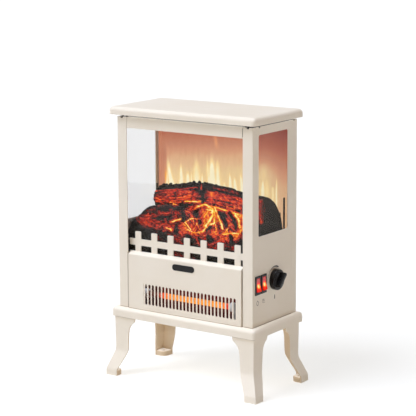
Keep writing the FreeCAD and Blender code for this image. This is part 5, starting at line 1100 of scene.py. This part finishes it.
p_lo, p_hi = box_mm("right_side_panel")
face_x = 140.9
k_lo, k_hi = box_mm("control_knob")
ky, kz = 3.0, 197.0
arc = np.radians(np.linspace(178, 58, 70))
arc_w = np.interp(np.linspace(0, 1, 70), [0.0, 0.45, 0.62, 0.80, 0.95, 1.0], [0.35, 0.75, 1.5, 2.3, 2.5, 1.3])
crescent = np.stack([ky + 22.6 * np.cos(arc), kz + 22.6 * np.sin(arc)], -1)
dark_marks = [ribbon(crescent, arc_w, face_x), ribbon([(2.8, 163.0), (2.8, 166.0), (2.8, 170.0)], [2.3, 2.0, 1.3], face_x)]
t = np.linspace(0, 2 * math.pi, 48, endpoint=True)
drop = np.stack([-50.8 + 3.0 * np.sin(t) * (1 - 0.25 * np.cos(t)), 165.0 - 3.4 * np.cos(t) * (1.0 - 0.1 * np.cos(t))], -1)
tip = np.stack([np.linspace(-50.0, -51.2, 8), 168.3 + 2.2 * np.sin(np.linspace(0, 1.6, 8))], -1)
pale_marks = [ribbon(drop, 0.75, face_x), ribbon(tip, np.linspace(0.9, 0.5, 8), face_x)]
for dz in (0.0, 2.5, 5.0):
    s = np.linspace(0, 1, 26)
    pale_marks.append(ribbon(np.stack([-36.2 + 7.2 * s, 164.0 + dz + 0.75 * np.sin(2 * math.pi * s)], -1), 0.70, face_x))
mv, mf = joined(dark_marks)
marks = make("dial_marks", mv, mf, False)
marks.data.materials.append(varied("mark_black", (0.008, 0.006, 0.006), 0.5, 0.3, 400.0))
mv, mf = joined(pale_marks)
icons = make("switch_icons", mv, mf, False)
icons.data.materials.append(varied("mark_brown", (0.11, 0.080, 0.062), 0.5, 0.25, 400.0))


# ------------------------------------------------------------------ floor, light, world
def floor_object():
    half = 400.0
    n = 12
    xs = np.linspace(-half, half, n)
    v = [(x, y, 0.0) for x in xs for y in xs]
    f = [(i * n + j, (i + 1) * n + j, (i + 1) * n + j + 1, i * n + j + 1) for i in range(n - 1) for j in range(n - 1)]
    me = bpy.data.meshes.new("studio_floor")
    me.from_pydata(v, [], f)
    me.update()
    o = bpy.data.objects.new("studio_floor", me)
    scene.collection.objects.link(o)
    m = Mat("studio_floor")
    m.set(Base_Color=m.mix(m.remap(m.noise(3.0, 3.0), 0.3, 0.7), (0.675, 0.652, 0.598, 1), (0.685, 0.660, 0.606, 1)), Roughness=m.remap(m.noise(8.0), 0.3, 0.7, 0.82, 0.9),
          Emission_Color=m.mix(m.remap(m.noise(2.0), 0.3, 0.7), (0.212, 0.209, 0.199, 1), (0.218, 0.214, 0.204, 1)))
    m.p.inputs["Emission Strength"].default_value = 1.0
    m.p.inputs["Specular IOR Level"].default_value = 0.1
    me.materials.append(m.m)
    return o


floor_object()

def sun_light(name, energy, angle, toward, colour, shadow=True):
    d = bpy.data.lights.new(name, "SUN")
    d.energy = energy
    d.angle = math.radians(angle)
    d.color = colour
    d.use_shadow = shadow
    o = bpy.data.objects.new(name, d)
    scene.collection.objects.link(o)
    o.rotation_euler = Vector(toward).normalized().to_track_quat("Z", "Y").to_euler()
    return o


sun_light("key", 1.41, 34, (-0.32, -0.56, 0.78), (0.98, 1.07, 1.30))
sun_light("overhead_fill", 2.0, 20, (0.0, 0.0, 1.0), (0.96, 1.065, 1.24), False)

world = bpy.data.worlds.new("studio")
scene.world = world
world.use_nodes = True
wt = world.node_tree
wt.nodes.clear()
w_out = wt.nodes.new("ShaderNodeOutputWorld")
w_bg = wt.nodes.new("ShaderNodeBackground")
w_tc = wt.nodes.new("ShaderNodeTexCoord")
w_dot = wt.nodes.new("ShaderNodeVectorMath")
w_dot.operation = "DOT_PRODUCT"
side = Vector((-0.75, -0.35, 0.55)).normalized()
w_dot.inputs[1].default_value = side
w_map = wt.nodes.new("ShaderNodeMapRange")
w_map.interpolation_type = "SMOOTHSTEP"
w_map.inputs["From Min"].default_value = 0.10
w_map.inputs["From Max"].default_value = 0.54
w_mix = wt.nodes.new("ShaderNodeMix")
w_mix.data_type = "RGBA"
cols = [i for i in w_mix.inputs if i.type == "RGBA"]
cols[0].default_value = (0.13, 0.055, 0.0, 1)
cols[1].default_value = (0.46, 0.46, 0.46, 1)
wt.links.new(w_tc.outputs["Generated"], w_dot.inputs[0])
wt.links.new(w_dot.outputs["Value"], w_map.inputs["Value"])
wt.links.new(w_map.outputs[0], w_mix.inputs["Factor"])
wt.links.new([o for o in w_mix.outputs if o.type == "RGBA"][0], w_bg.inputs["Color"])
w_bg.inputs["Strength"].default_value = 1.0
wt.links.new(w_bg.outputs[0], w_out.inputs[0])

scene.view_settings.view_transform = "Standard"
scene.view_settings.look = "None"
scene.view_settings.exposure = 0.0
scene.view_settings.gamma = 1.0
